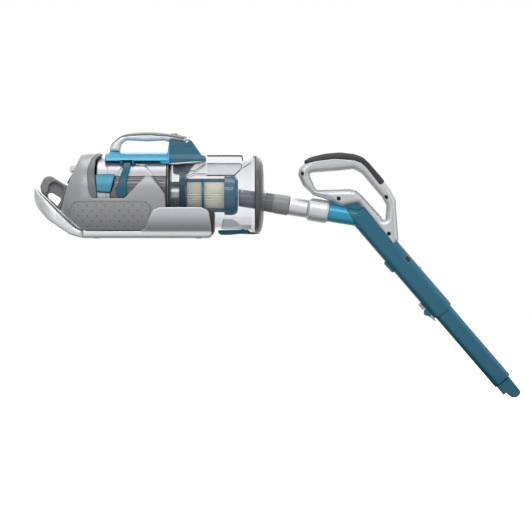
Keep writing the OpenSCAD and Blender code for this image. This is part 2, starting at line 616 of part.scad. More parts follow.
// ---- Wand ----
module stub_solid(r, from, to) on_tube() rod_x(from, to, r);
module wand_tube() color(blue) difference() {
    union() {
        stub_solid(18.6, collar_end + 0.2, bend_s);
        on_wand() wand_bar(-14, outer_len, wand_w, wand_d, 15);
        on_wand() plate(bump_line, -9, 9);
    }
    stub_solid(15.8, collar_end - cut, bend_s - 4);
    on_wand() wand_bar(-6, outer_len + cut, wand_w - 2 * wand_t, wand_d - 2 * wand_t, 12);
}
module wand_shape(grow) {
    stub_solid(18.6 + grow, collar_end, bend_s);
    on_wand() wand_bar(-14 - grow, outer_len, wand_w + 2 * grow, wand_d + 2 * grow, 15 + grow);
}
module handle_ring(line, inset, y0, y1) slab(y0, y1) difference() {
    polygon(shifted(rounded(line), -inset));
    polygon(shifted(rounded(handle_hole), inset));
}
module wand_handle(side) on_side(side) difference() {
    union() {
        difference() {
            handle_ring(handle_line, 0, -handle_half, -seam);
            handle_ring(hollow_line, 2.5, 2.5 - handle_half, cut);
        }
        for (p = handle_screw_at) rod_y_from(p.x, p.y, 1 - handle_half, -seam, 5);
    }
    wand_shape(0.1);
    for (p = handle_screw_at) {
        rod_y_from(p.x, p.y, side < 0 ? -big : -12.5, cut, 1.52);
        if (side < 0) rod_y_from(p.x, p.y, -big, 4.05 - handle_half, 3.4);
    }
}
module wand_handle_near() color(silver) wand_handle(-1);
module wand_handle_far() color(silver) wand_handle(1);
module wand_handle_overmold() color(dark) plate(handle_pad, -handle_half - 0.5, handle_half + 0.5);
module handle_screws() color(dark) for (p = handle_screw_at) difference() {
    union() {
        rod_y_from(p.x, p.y, 1.5 - handle_half, 4 - handle_half, 3.3);
        rod_y_from(p.x, p.y, 3.9 - handle_half, p.z, 1.5);
    }
    rod_y_from(p.x, p.y, -handle_half, 2.6 - handle_half, 1.3);
}
module inner_tube() color(blue) on_wand() difference() {
    wand_bar(inner_start, inner_end, inner_w, inner_d, 11.7);
    wand_bar(inner_start - cut, inner_end + cut, inner_w - 4, inner_d - 4, 9.7);
}
module crevice_tool() color(blue) on_wand() difference() {
    union() {
        plate(tip_line, -11, 11);
        plate([[418, -12.5, 1], [431, -12.5, 0], [431, 12.5, 0], [418, 12.5, 1]], -9, 9);
    }
    plate(tip_hollow, -8, 8);
    plate([[410, -10.5, 0], [424, -10.5, 0], [424, 10.5, 0], [410, 10.5, 0]], -7, 7);
    plate([[455, -16, 0], [465, -16, 0], [465, -4, 0], [455, -4, 0]], -8, 8);
}
module tele_lock() color(grey) on_wand() plate(catch_line, -7, 7);

lower_cradle();
rear_bow();
rear_grip_loop();
rear_vent_grille();
charge_socket();
body_shell_near();
body_shell_far();
exhaust_panel_near();
exhaust_panel_far();
shell_rim();
motor_pod();
pod_front_plate();
premotor_grille();
handle_base();
carry_grip();
carry_grip_overmold();
power_switch();
release_button_near();
release_button_far();
button_spring_near();
button_spring_far();
side_latch_near();
side_latch_far();
latch_pins();
base_feet();
cradle_screws();
battery_cells();
battery_tray();
circuit_board();
motor_can();
motor_stator();
motor_bearings();
motor_rotor();
fan_impeller();
fan_housing();
filter_frame();
pleated_filter();
filter_end_cap();
dust_cup();
cup_seal();
inner_duct();
latch_housing();
cup_latch();
cup_latch_pin();
door_panel();
door_seal();
door_hinge_pin();
inlet_tube();
hose_cuff();
swivel_cuff();
swivel_collar();
wand_tube();
wand_handle_near();
wand_handle_far();
wand_handle_overmold();
handle_screws();
inner_tube();
tele_lock();
cup_cradle_ring();
crevice_tool();
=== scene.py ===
"""Looks of the cordless vacuum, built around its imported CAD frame.

Shapes are made in millimetres on grids of distances: a CAD node is read as a signed distance, its edges are
rounded, grooves and splits are cut from it, and the surface is drawn back as a mesh in metres.
"""

import copy
import json
import math

import bpy
import numpy as np
import openvdb as vdb
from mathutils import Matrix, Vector

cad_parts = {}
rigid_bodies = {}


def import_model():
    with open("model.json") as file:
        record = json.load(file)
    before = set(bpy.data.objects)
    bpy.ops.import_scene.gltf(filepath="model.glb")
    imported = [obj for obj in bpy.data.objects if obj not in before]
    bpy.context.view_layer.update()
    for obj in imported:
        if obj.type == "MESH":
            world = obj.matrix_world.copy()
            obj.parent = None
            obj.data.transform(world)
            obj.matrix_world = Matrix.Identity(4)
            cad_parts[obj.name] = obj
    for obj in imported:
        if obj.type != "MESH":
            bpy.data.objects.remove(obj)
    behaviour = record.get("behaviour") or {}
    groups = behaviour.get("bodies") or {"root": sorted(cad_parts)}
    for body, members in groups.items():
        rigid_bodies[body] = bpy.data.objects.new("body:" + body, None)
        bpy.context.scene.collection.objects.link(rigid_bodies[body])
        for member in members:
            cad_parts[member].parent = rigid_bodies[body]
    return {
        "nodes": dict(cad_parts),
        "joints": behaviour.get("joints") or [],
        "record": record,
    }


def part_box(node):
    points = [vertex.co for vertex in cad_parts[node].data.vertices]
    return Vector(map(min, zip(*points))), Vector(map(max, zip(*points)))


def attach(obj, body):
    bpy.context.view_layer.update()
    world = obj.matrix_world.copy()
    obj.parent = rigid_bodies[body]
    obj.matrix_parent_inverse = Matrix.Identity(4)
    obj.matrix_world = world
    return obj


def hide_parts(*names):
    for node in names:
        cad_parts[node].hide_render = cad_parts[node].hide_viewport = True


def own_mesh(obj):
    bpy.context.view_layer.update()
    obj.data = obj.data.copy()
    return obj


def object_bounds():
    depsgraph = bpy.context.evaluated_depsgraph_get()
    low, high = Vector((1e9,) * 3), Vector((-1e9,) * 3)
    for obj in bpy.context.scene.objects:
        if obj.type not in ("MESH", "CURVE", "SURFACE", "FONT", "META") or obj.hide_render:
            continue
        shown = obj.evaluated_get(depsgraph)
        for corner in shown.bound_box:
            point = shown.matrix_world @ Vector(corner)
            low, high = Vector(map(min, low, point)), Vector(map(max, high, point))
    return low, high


for leftover in list(bpy.data.objects):
    bpy.data.objects.remove(leftover)
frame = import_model()
cad_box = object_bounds()
record = frame["record"]
joint_of = {joint["name"]: joint for joint in frame["joints"]}

# ---- Places, in millimetres, from the frame ----
MM = 0.001
AXIS_Z = 86.0  # height of the long axis of the body, pod, filter and cup
swivel_at = np.array(joint_of["wand_swivel"]["pos_m"]) / MM
tube_along = np.array(joint_of["wand_swivel"]["axis"], float)
wand_along = np.array(joint_of["telescope_slide"]["axis"], float)
BEND_FROM_SWIVEL = 148.8  # from the swivel's place to the wand's bend, along the tube
bend_at = swivel_at + tube_along * BEND_FROM_SWIVEL
side_y = np.array([0.0, 1.0, 0.0])
wand_up = np.cross(side_y, wand_along) * -1.0  # across the wand, towards its upper right


# ---- Distances on grids ----
BAND_CELLS = 3  # how far from a surface a grid keeps its distances, in cells
MARGIN_CELLS = 2  # empty cells round a shape
FAR = 1e9
NEARLY_STRAIGHT = math.radians(89.5)  # a corner whose half angle is wider than this isn't rounded


class Field:
    """A signed distance in millimetres, negative inside, on a grid of points."""

    def __init__(self, low, high, step):
        self.step = step
        self.start = np.floor(np.asarray(low) / step).astype(int) - MARGIN_CELLS
        count = np.ceil(np.asarray(high) / step).astype(int) + MARGIN_CELLS + 1 - self.start
        spots = [(self.start[i] + np.arange(count[i])) * step for i in range(3)]
        self.x = spots[0][:, None, None]
        self.y = spots[1][None, :, None]
        self.z = spots[2][None, None, :]
        self.d = np.full(tuple(count), BAND_CELLS * step, np.float32)

    def copy(self):
        """A second field with the same distances. Changes to one leave the other as it is."""
        return copy.copy(self)

    def read(self, grid):
        """Takes its distances from a level set."""
        grid.copyToArray(self.d, ijk=tuple(int(i) for i in self.start))
        return self

    def read_shape(self, points, faces):
        """Takes its distances from a closed mesh."""
        self.d = self.d.copy()
        return self.read(level_set(points, faces, self.step, 0.0))

    def cut(self, other):
        """Takes away what lies inside the other distance."""
        return self.keep(-other)

    def keep(self, other):
        """Keeps only what lies inside the other distance."""
        self.d = np.maximum(self.d, other).astype(np.float32)
        return self

    def add(self, other):
        """Adds what lies inside the other distance."""
        self.d = np.minimum(self.d, other).astype(np.float32)
        return self

    def surface(self):
        """The points and four-sided faces of the surface, in millimetres."""
        reach = BAND_CELLS * self.step
        grid = vdb.FloatGrid(reach)
        grid.transform = vdb.createLinearTransform(self.step)
        grid.copyFromArray(np.clip(self.d, -reach, reach), ijk=tuple(int(i) for i in self.start))
        return grid.convertToQuads(0.0)

    def along(self, origin, direction):
        """Distance from origin along a direction, at each point."""
        return ((self.x - origin[0]) * direction[0] + (self.y - origin[1]) * direction[1]
                + (self.z - origin[2]) * direction[2])

    def from_axis(self):
        """Distance from the body's long axis."""
        return np.sqrt(self.y ** 2 + (self.z - AXIS_Z) ** 2)

    def side_view(self):
        """The x and the z of the grid as it is seen from the side, along y."""
        shape = (self.d.shape[0], self.d.shape[2])
        return np.broadcast_to(self.x[:, 0, :], shape), np.broadcast_to(self.z[0, :, :], shape)


def cad_triangles(node):
    mesh = frame["nodes"][node].data
    mesh.calc_loop_triangles()
    points = np.empty(len(mesh.vertices) * 3, np.float32)
    mesh.vertices.foreach_get("co", points)
    faces = np.empty(len(mesh.loop_triangles) * 3, np.int32)
    mesh.loop_triangles.foreach_get("vertices", faces)
    return points.reshape(-1, 3) / np.float32(MM), faces.reshape(-1, 3).astype(np.uint32)


def level_set(points, faces, step, reach):
    kind = "triangles" if faces.shape[1] == 3 else "quads"
    return vdb.FloatGrid.createLevelSetFromPolygons(
        points, transform=vdb.createLinearTransform(step), halfWidth=math.ceil(reach / step) + BAND_CELLS,
        **{kind: faces})


def solid(node, step, edge=0.0):
    """A CAD node as a field, with its outer edges rounded to a radius of edge."""
    points, faces = cad_triangles(node)
    grid = level_set(points, faces, step, edge)
    if edge > 0:
        grid = level_set(*grid.convertToQuads(-edge), step, edge)
    field = Field(points.min(0), points.max(0), step).read(grid)
    field.d -= np.float32(edge)
    return field


def slice_at(node, y):
    """The outline of a CAD node where it crosses a plane of constant y: segments as (n, 2, 2) in x and z."""
    points, faces = cad_triangles(node)
    corners = points[faces].astype(float)
    height = corners[:, :, 1] - y
    crossing = (height.min(1) < 0) & (height.max(1) > 0)
    corners, height = corners[crossing], height[crossing]
    ends = []
    for a, b in ((0, 1), (1, 2), (2, 0)):
        part = height[:, a] / np.where(height[:, a] == height[:, b], FAR, height[:, a] - height[:, b])
        point = corners[:, a] + part[:, None] * (corners[:, b] - corners[:, a])
        ends.append(np.where((height[:, a] * height[:, b] < 0)[:, None], point, np.nan))
    ends = np.stack(ends, 1)
    pairs = [row[~np.isnan(row[:, 0])] for row in ends]
    return np.array([row[:2][:, [0, 2]] for row in pairs if len(row) == 2])


def rounded(line, steps=6):
    """Points of a closed outline given as (x, z, corner radius)."""
    out = []
    for i, (x, z, r) in enumerate(line):
        here = np.array([x, z], float)
        before = np.array(line[i - 1][:2], float) - here
        after = np.array(line[(i + 1) % len(line)][:2], float) - here
        before, after = before / np.linalg.norm(before), after / np.linalg.norm(after)
        half = math.acos(max(-1.0, min(1.0, before @ after))) / 2
        if r == 0 or half > NEARLY_STRAIGHT:
            out.append(here)
            continue
        middle = here + (before + after) / np.linalg.norm(before + after) * r / math.sin(half)
        a = here + before * r / math.tan(half) - middle
        b = here + after * r / math.tan(half) - middle
        turn = math.atan2(a[0] * b[1] - a[1] * b[0], a @ b)
        for k in range(steps + 1):
            c, t = math.cos(turn * k / steps), math.sin(turn * k / steps)
            out.append(middle + np.array([a[0] * c - a[1] * t, a[0] * t + a[1] * c]))
    return np.array(out)


def loop(line):
    """The segments of a closed outline given as (x, z, corner radius)."""
    points = rounded(line)
    return np.stack([points, np.roll(points, -1, 0)], 1)


def finer(segments, longest):
    """The same segments, divided until none is longer than this."""
    out = []
    for a, b in segments:
        n = max(1, int(np.ceil(np.linalg.norm(b - a) / longest)))
        t = np.linspace(0, 1, n + 1)[:, None]
        line = a + (b - a) * t
        out.extend(zip(line[:-1], line[1:]))
    return np.array(out)


def to_segments(segments, px, pz):
    """Unsigned distance of points to the nearest of the segments."""
    best = np.full(px.shape, FAR)
    for a, b in segments:
        d = b - a
        t = np.clip(((px - a[0]) * d[0] + (pz - a[1]) * d[1]) / max(d @ d, 1e-12), 0, 1)
        best = np.minimum(best, (px - a[0] - t * d[0]) ** 2 + (pz - a[1] - t * d[1]) ** 2)
    return np.sqrt(best)


def within(segments, px, pz):
    """True at points inside the segments' outline."""
    odd = np.zeros(px.shape, bool)
    for a, b in segments:
        if a[1] == b[1]:
            continue
        spans = (a[1] > pz) != (b[1] > pz)
        odd ^= spans & (px < a[0] + (b[0] - a[0]) * (pz - a[1]) / (b[1] - a[1]))
    return odd


def outline_distance(segments, px, pz):
    return np.where(within(segments, px, pz), -1.0, 1.0) * to_segments(segments, px, pz)


def joined_outline(one, two, px, pz, gap=1.0):
    """Signed distance to two neighbouring outlines as one shape, with no line where they meet."""
    one, two = finer(one, 2.0), finer(two, 2.0)
    keep_one = one[to_segments(two, *one.mean(1).T) > gap]
    keep_two = two[to_segments(one, *two.mean(1).T) > gap]
    edge = to_segments(np.concatenate([keep_one, keep_two]), px, pz)
    inside = within(one, px, pz) | within(two, px, pz)
    inside |= (to_segments(one, px, pz) < gap) & (to_segments(two, px, pz) < gap)
    return np.where(inside, -edge, edge)


def flat_outline(field, segments):
    """An outline's distance at every point of a field, the same all along y."""
    return outline_distance(segments, *field.side_view())[:, None, :]


def cross_outline(field, segments):
    """An outline in y and z, as a distance at every point of a field, the same all along x."""
    shape = field.d.shape[1:]
    py, pz = np.broadcast_to(field.y[0], shape), np.broadcast_to(field.z[0], shape)
    return outline_distance(segments, py, pz)[None, :, :]


def near_line(field, points):
    """Distance, seen from the side, to a line through points (x, z)."""
    points = np.array(points, float)
    return to_segments(np.stack([points[:-1], points[1:]], 1), *field.side_view())[:, None, :]


common = np.maximum  # the common part of two shapes


def meet(a, b, edge, deep=None):
    """The common part of two shapes, with their shared rim rounded: edge across a, and deep across b."""
    deep = deep or edge
    u, v = (a + edge) / edge, (b + deep) / deep
    corner = np.sqrt(np.maximum(u, 0) ** 2 + np.maximum(v, 0) ** 2)
    return (np.minimum(np.maximum(u, v), 0) + corner - 1) * min(edge, deep)


def round_corner(a, b, radius):
    """The common part of two shapes, with a radius where they meet. Both are given smaller by the radius."""
    return np.minimum(np.maximum(a, b), 0) + np.sqrt(np.maximum(a, 0) ** 2 + np.maximum(b, 0) ** 2) - radius


def rounded_slab(flat, y, half, edge):
    """An outline's distance made solid between -half and half, with its rims rounded."""
    return round_corner(flat + edge, np.abs(y) - half + edge, edge)


SMOOTH_IN, SMOOTH_OUT = 0.5, -0.53  # shares of the way to the neighbours' mean, there and back


def slab(low, high, line, half, edge, step):
    """A field of a closed outline in x and z made solid between -half and half."""
    field = Field(low, high, step)
    field.d = rounded_slab(flat_outline(field, loop(line)), field.y, half, edge).astype(np.float32)
    return field


def smoothed(points, quads, rounds):
    """Taubin smoothing: evens out the grid's marks without shrinking the shape."""
    edges = np.concatenate([quads[:, [0, 1]], quads[:, [1, 2]], quads[:, [2, 3]], quads[:, [3, 0]]])
    a = np.concatenate([edges[:, 0], edges[:, 1]])
    b = np.concatenate([edges[:, 1], edges[:, 0]])
    count = np.maximum(np.bincount(a, minlength=len(points)), 1)[:, None]
    points = points.astype(float)
    for _ in range(rounds):
        for share in (SMOOTH_IN, SMOOTH_OUT):
            mean = np.stack([np.bincount(a, points[b, i], len(points)) for i in range(3)], 1) / count
            points = points + share * (mean - points)
    return points


def mesh_of(name, field, rounds=3):
    """A field's smoothed surface as a mesh in metres, with its faces turned outwards."""
    points, quads = field.surface()
    quads = quads.astype(np.int64)
    low, high = (np.array(corner) / MM for corner in cad_box)
    points = np.clip(smoothed(points, quads, rounds), low, high)
    p = points[quads]
    volume = np.einsum("ij,ij->i", p[:, 0], np.cross(p[:, 1], p[:, 2])).sum()
    volume += np.einsum("ij,ij->i", p[:, 0], np.cross(p[:, 2], p[:, 3])).sum()
    if volume < 0:
        quads = quads[:, ::-1]
    mesh = bpy.data.meshes.new(name)
    mesh.vertices.add(len(points))
    mesh.vertices.foreach_set("co", (points * MM).astype(np.float32).ravel())
    mesh.loops.add(quads.size)
    mesh.loops.foreach_set("vertex_index", quads.astype(np.int32).ravel())
    mesh.polygons.add(len(quads))
    mesh.polygons.foreach_set("loop_start", np.arange(0, quads.size, 4, dtype=np.int32))
    mesh.update(calc_edges=True)
    mesh.validate()
    mesh.shade_smooth()
    return mesh


# ---- Pieces ----
SEAM_HALF = 0.15  # half gap between paired mouldings
body_of = {node: body for body, nodes in record["behaviour"]["bodies"].items() for node in nodes}


def scene_object(name, data):
    made = bpy.data.objects.new(name, data)
    bpy.context.scene.collection.objects.link(made)
    return made


def place(name, mesh, finish, body, replaces=()):
    """Adds a piece to the scene, on its body, in a finish: the slot's name and the material."""
    slot, material = finish
    piece = scene_object(name, mesh)
    piece.data.materials.append(material)
    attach(piece, body)
    if replaces:
        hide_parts(*replaces)
    return piece


def stand_in(node, field, finish, rounds=3):
    """A finished piece in the place of a CAD node."""
    return place(node + "_skin", mesh_of(node, field, rounds), finish, body_of[node], [node])


def extra(name, field, finish, body, rounds=3):
    """A finished piece that only the visual model has."""
    return place(name, mesh_of(name, field, rounds), finish, body)


SHARP_ANGLE = math.radians(32.0)  # an edge of a see-through part stays sharp above this
SAME_PLACE_DECIMALS = 6  # corners that agree to a micrometre are joined


def clear_copy(node, finish):
    """A CAD node's own surface, joined up and smoothed, for see-through parts."""
    mesh = frame["nodes"][node].data
    points = np.empty(len(mesh.vertices) * 3)
    mesh.vertices.foreach_get("co", points)
    corners = np.round(points.reshape(-1, 3), SAME_PLACE_DECIMALS)
    keys, which = np.unique(corners, axis=0, return_inverse=True)
    faces = np.empty(len(mesh.loops), np.int32)
    mesh.loops.foreach_get("vertex_index", faces)
    faces = which.ravel()[faces].reshape(-1, 3)
    faces = faces[(faces[:, 0] != faces[:, 1]) & (faces[:, 1] != faces[:, 2]) & (faces[:, 0] != faces[:, 2])]
    joined = bpy.data.meshes.new(node + "_skin")
    joined.from_pydata(keys.tolist(), [], faces.tolist())
    joined.validate()
    joined.shade_smooth()
    joined.set_sharp_from_angle(angle=SHARP_ANGLE)
    return place(node + "_skin", joined, finish, body_of[node], [node])


# ---- Materials ----
class Shader:
    """A material or a world that is built up node by node. Textures lie in the object's own space."""

    def __init__(self, owner, output="ShaderNodeOutputMaterial"):
        self.owner = owner
        owner.use_nodes = True
        self.tree = owner.node_tree
        self.tree.nodes.clear()
        self.out = self.add(output).inputs["Surface"]
        self.coords = self.add("ShaderNodeTexCoord").outputs
        self.place = self.coords["Object"]

    def add(self, kind, **settings):
        node = self.tree.nodes.new(kind)
        for key, value in settings.items():
            setattr(node, key, value)
        return node

    def link(self, source, socket):
        self.tree.links.new(source, socket)

    def noise(self, size_mm, detail=2.0, rough=0.5):
        """Noise from 0 to 1 with features of about this size."""
        node = self.add("ShaderNodeTexNoise")
        self.link(self.place, node.inputs["Vector"])
        node.inputs["Scale"].default_value = 1.0 / (size_mm * MM)
        node.inputs["Detail"].default_value = detail
        node.inputs["Roughness"].default_value = rough
        return node.outputs["Fac"]

    def dots(self, size_mm):
        """Distance to the nearest of many scattered points."""
        node = self.add("ShaderNodeTexVoronoi")
        self.link(self.place, node.inputs["Vector"])
        node.inputs["Scale"].default_value = 1.0 / (size_mm * MM)
        return node.outputs["Distance"]

    def span(self, value, low, high, start=0.0, end=1.0):
        """A value's range from start to end, turned into the range from low to high."""
        node = self.add("ShaderNodeMapRange")
        node.inputs["From Min"].default_value = start
        node.inputs["From Max"].default_value = end
        node.inputs["To Min"].default_value = low
        node.inputs["To Max"].default_value = high
        self.link(value, node.inputs["Value"])
        return node.outputs["Result"]

    def choose(self, factor, a, b):
        """The shader a where factor is 0, and b where it is 1, sent to the output."""
        node = self.add("ShaderNodeMixShader")
        self.link(factor, node.inputs["Fac"])
        self.link(a.outputs[0], node.inputs[1])
        self.link(b.outputs[0], node.inputs[2])
        self.link(node.outputs[0], self.out)

    def mix(self, factor, a, b):
        """A colour between a and b, each given as a colour or as another node's output."""
        node = self.add("ShaderNodeMix", data_type="RGBA")
        self.link(factor, node.inputs["Factor"])
        for value, socket in ((a, node.inputs[6]), (b, node.inputs[7])):
            if isinstance(value, bpy.types.NodeSocket):
                self.link(value, socket)
            else:
                socket.default_value = (*value, 1)
        return node.outputs[2]

    def bump(self, height, strength, depth_mm, normal=None):
        node = self.add("ShaderNodeBump")
        node.inputs["Strength"].default_value = strength
        node.inputs["Distance"].default_value = depth_mm * MM
        self.link(height, node.inputs["Height"])
        if normal is not None:
            self.link(normal, node.inputs["Normal"])
        return node.outputs["Normal"]

    def surface(self, colour, rough, normal, **sockets):
        node = self.add("ShaderNodeBsdfPrincipled")
        self.link(colour, node.inputs["Base Color"])
        self.link(rough, node.inputs["Roughness"])
        if normal is not None:
            self.link(normal, node.inputs["Normal"])
        for key, value in sockets.items():
            node.inputs[key.replace("_", " ")].default_value = value
        return node


def tone(colour, share):
    """A colour made darker or lighter."""
    return tuple(min(1.0, c * share) for c in colour)


MOTTLE_MM, STREAK_MM, GRAIN_MM, WAVE_MM = 38, 9, 0.5, 26
EDGE_HIGHLIGHT_SPAN, CREVICE_SHADE_SPAN = (0.53, 0.62), (0.34, 0.45)  # pointiness where the painted edge highlight and the painted crevice shade start and end


def moulded(name, colour, rough, grain=0.10, mottle=0.06, edge=1.25, crevice=0.72, texture=None, coat=None,
            **sockets):
    """A finish of moulded plastic or metal, with a painted highlight on its edges and painted shade in its
    corners.

    grain is the strength of its fine grain, and mottle how far its colour drifts. edge is the share of the
    colour for the painted edge highlight, and crevice the share for the painted crevice shade. texture is the
    size in millimetres and the strength of a pattern of raised dots.
    coat is the weight and the roughness of a clear coat.
    """
    s = Shader(bpy.data.materials.new(name))
    slow = s.noise(MOTTLE_MM, detail=3)
    fine = s.noise(GRAIN_MM, detail=2)
    streak = s.noise(STREAK_MM, detail=4, rough=0.6)
    base = s.mix(slow, tone(colour, 1 - mottle), tone(colour, 1 + mottle))
    speck = s.mix(s.span(streak, 0.0, 0.35, 0.35, 0.75), base, tone(colour, 0.93))
    pointed = s.add("ShaderNodeNewGeometry").outputs["Pointiness"]
    # Painted highlight: sharp edges, where pointiness is high, get a lighter colour
    edge_highlighted = s.mix(s.span(pointed, 0.0, 1.0, *EDGE_HIGHLIGHT_SPAN), speck, tone(colour, edge))
    # Painted shade: crevices, where pointiness is low, get a darker colour
    final = s.mix(s.span(pointed, 1.0, 0.0, *CREVICE_SHADE_SPAN), edge_highlighted, tone(colour, crevice))
    normal = s.bump(fine, grain, 0.12)
    normal = s.bump(s.noise(WAVE_MM, detail=1), 0.02, 0.5, normal)
    if texture:
        dot_mm, strength = texture
        normal = s.bump(s.dots(dot_mm), strength, 0.25, normal)
    if coat:
        sockets["Coat_Weight"], sockets["Coat_Roughness"] = coat
    node = s.surface(final, s.span(streak, rough * 0.86, rough * 1.16, 0.25, 0.75), normal, **sockets)
    s.link(node.outputs[0], s.out)
    return s.owner


CLEAR_ROUGH = 0.06


def clear_plastic(name, tint, low, high):
    """A finish of thin clear plastic: see-through, with gloss from low to high towards the rim."""
    s = Shader(bpy.data.materials.new(name))
    haze = s.noise(30, detail=3)
    colour = s.mix(haze, (0.34, 0.37, 0.39), (0.44, 0.47, 0.49))
    rough = s.span(haze, CLEAR_ROUGH * 0.7, CLEAR_ROUGH * 1.6)
    gloss = s.surface(colour, rough, s.bump(s.noise(22, detail=2), 0.04, 0.4), Specular_IOR_Level=0.7)
    through = s.add("ShaderNodeBsdfTransparent")
    through.inputs["Color"].default_value = (*tint, 1)
    facing = s.add("ShaderNodeLayerWeight")
    facing.inputs["Blend"].default_value = 0.32
    s.choose(s.span(facing.outputs["Facing"], low, high), through, gloss)
    return "clear_plastic", s.owner


GREY = (0.285, 0.288, 0.295)
SILVER = (0.62, 0.63, 0.65)
BLUE = (0.006, 0.130, 0.205)
DARK = (0.035, 0.036, 0.040)
PALE_GREY = (0.27, 0.273, 0.278)

# Finishes: the slot's name and the material. edge and crevice set the painted edge highlight and the painted
# crevice shade
grey_shell = "grey_shell", moulded(
    "satin_grey_shell", GREY, 0.32, grain=0.05, mottle=0.03, Metallic=0.25, coat=(0.3, 0.2))
# crevice=0.4 paints strong shade into the panel's lines and dots
panel_grey = "grey_shell", moulded(
    "textured_grey_panel", tone(GREY, 0.92), 0.42, grain=0.12, mottle=0.03, crevice=0.4, texture=(2.2, 0.15))
silver_plastic = "silver_plastic", moulded(
    "silver_paint", SILVER, 0.4, grain=0.012, mottle=0.02, Metallic=0.75, coat=(0.15, 0.25))
pod_silver = "silver_plastic", moulded(
    "bright_silver_paint", tone(SILVER, 0.66), 0.34, grain=0.01, mottle=0.02, Metallic=0.8, coat=(0.15, 0.2))
handle_silver = "silver_plastic", moulded(
    "brushed_silver_paint", tone(SILVER, 0.86), 0.4, grain=0.01, mottle=0.02, Metallic=0.8, coat=(0.12, 0.25))
grip_silver = "silver_plastic", moulded(
    "pale_silver_paint", tone(SILVER, 1.05), 0.32, grain=0.015, mottle=0.02, Metallic=0.4, coat=(0.5, 0.1))
# Dark silver of the pod's front plate, also used on the pod's lower part as painted shade
dark_silver_and_pod_shade = "dark_plastic", moulded(
    "smoked_silver_and_pod_shade", (0.075, 0.075, 0.08), 0.24, grain=0.01, Metallic=0.6, coat=(0.6, 0.08))
blue_plastic = "blue_plastic", moulded(
    "blue_gloss", tone(BLUE, 0.82), 0.34, grain=0.03, mottle=0.03, edge=2.0, Metallic=0.1, coat=(0.15, 0.15))
deep_blue = "blue_plastic", moulded(
    "deep_blue_gloss", tone(BLUE, 0.62), 0.34, grain=0.03, mottle=0.03, edge=3.0, Specular_IOR_Level=0.3)
sky_blue = "blue_plastic", moulded(
    "sky_blue_gloss", (0.014, 0.19, 0.29), 0.34, grain=0.02, mottle=0.03, edge=1.4, Metallic=0.15,
    coat=(0.2, 0.12))
# Lighter blue for the handle's rail and the wand's stub: a painted highlight
highlight_blue = "blue_plastic", moulded(
    "blue_gloss_painted_highlight", (0.026, 0.28, 0.43), 0.3, grain=0.02, mottle=0.03, edge=1.3, Metallic=0.35,
    coat=(0.2, 0.1))
dark_plastic = "dark_plastic", moulded("dark_satin", DARK, 0.42, grain=0.2)
loop_grey = "dark_plastic", moulded("loop_grey", (0.16, 0.162, 0.166), 0.36, coat=(0.2, 0.2))
rim_dark = "dark_plastic", moulded("rim_dark", (0.12, 0.121, 0.125), 0.34, grain=0.04)
grip_grey = "soft_grip_grey", moulded("soft_grey_grip", PALE_GREY, 0.62, grain=0.35, texture=(1.6, 0.5))
grip_black = "soft_grip_black", moulded(
    "soft_black_grip", (0.012, 0.012, 0.013), 0.55, grain=0.4, texture=(1.8, 0.8))
duct_grey = "dark_plastic", moulded("duct_grey", (0.14, 0.143, 0.15), 0.35, Coat_Weight=0.3)
cuff_grey = "grey_shell", moulded("cuff_grey", (0.20, 0.204, 0.21), 0.38, Coat_Weight=0.3)
latch_grey = "grey_shell", moulded(
    "latch_silver_grey", (0.42, 0.425, 0.435), 0.26, grain=0.02, Metallic=0.6, Coat_Weight=0.5)
filter_blue = "blue_plastic", moulded(
    "filter_blue", tone(BLUE, 0.8), 0.3, grain=0.03, edge=2.2, coat=(0.5, 0.1))
paper = "filter_paper", moulded("pleated_paper", (0.66, 0.635, 0.57), 0.85, grain=0.5, mottle=0.12)
rubber = "seal_rubber", moulded("seal_rubber_black", (0.025, 0.025, 0.027), 0.7, grain=0.3)
steel = "steel", moulded("brushed_steel", (0.55, 0.55, 0.56), 0.3, Metallic=1.0)
copper = "copper_winding", moulded(
    "copper_windings", (0.62, 0.26, 0.12), 0.35, Metallic=0.9, texture=(1.2, 0.8))
black_steel = "steel", moulded("blackened_steel", (0.02, 0.02, 0.021), 0.35, Metallic=0.8)
board = "board_green", moulded("board_green_mask", (0.02, 0.13, 0.06), 0.35, texture=(3.0, 0.3))
cell_wrap = "cell_sleeve", moulded("cell_sleeve_film", (0.05, 0.22, 0.10), 0.3, Coat_Weight=0.4)
clear_cup = clear_plastic("clear_cup_plastic", (0.98, 0.985, 0.99), 0.012, 0.34)
clear_duct = clear_plastic("clear_duct_plastic", (0.965, 0.97, 0.975), 0.02, 0.40)
clear_blue = clear_plastic("clear_blue_plastic", (0.42, 0.66, 0.76), 0.05, 0.5)
clear_door = clear_plastic("clear_door_plastic", (0.90, 0.92, 0.93), 0.05, 0.60)
door_grey = "dark_plastic", moulded("door_rim_grey", (0.055, 0.057, 0.06), 0.34, coat=(0.4, 0.15))

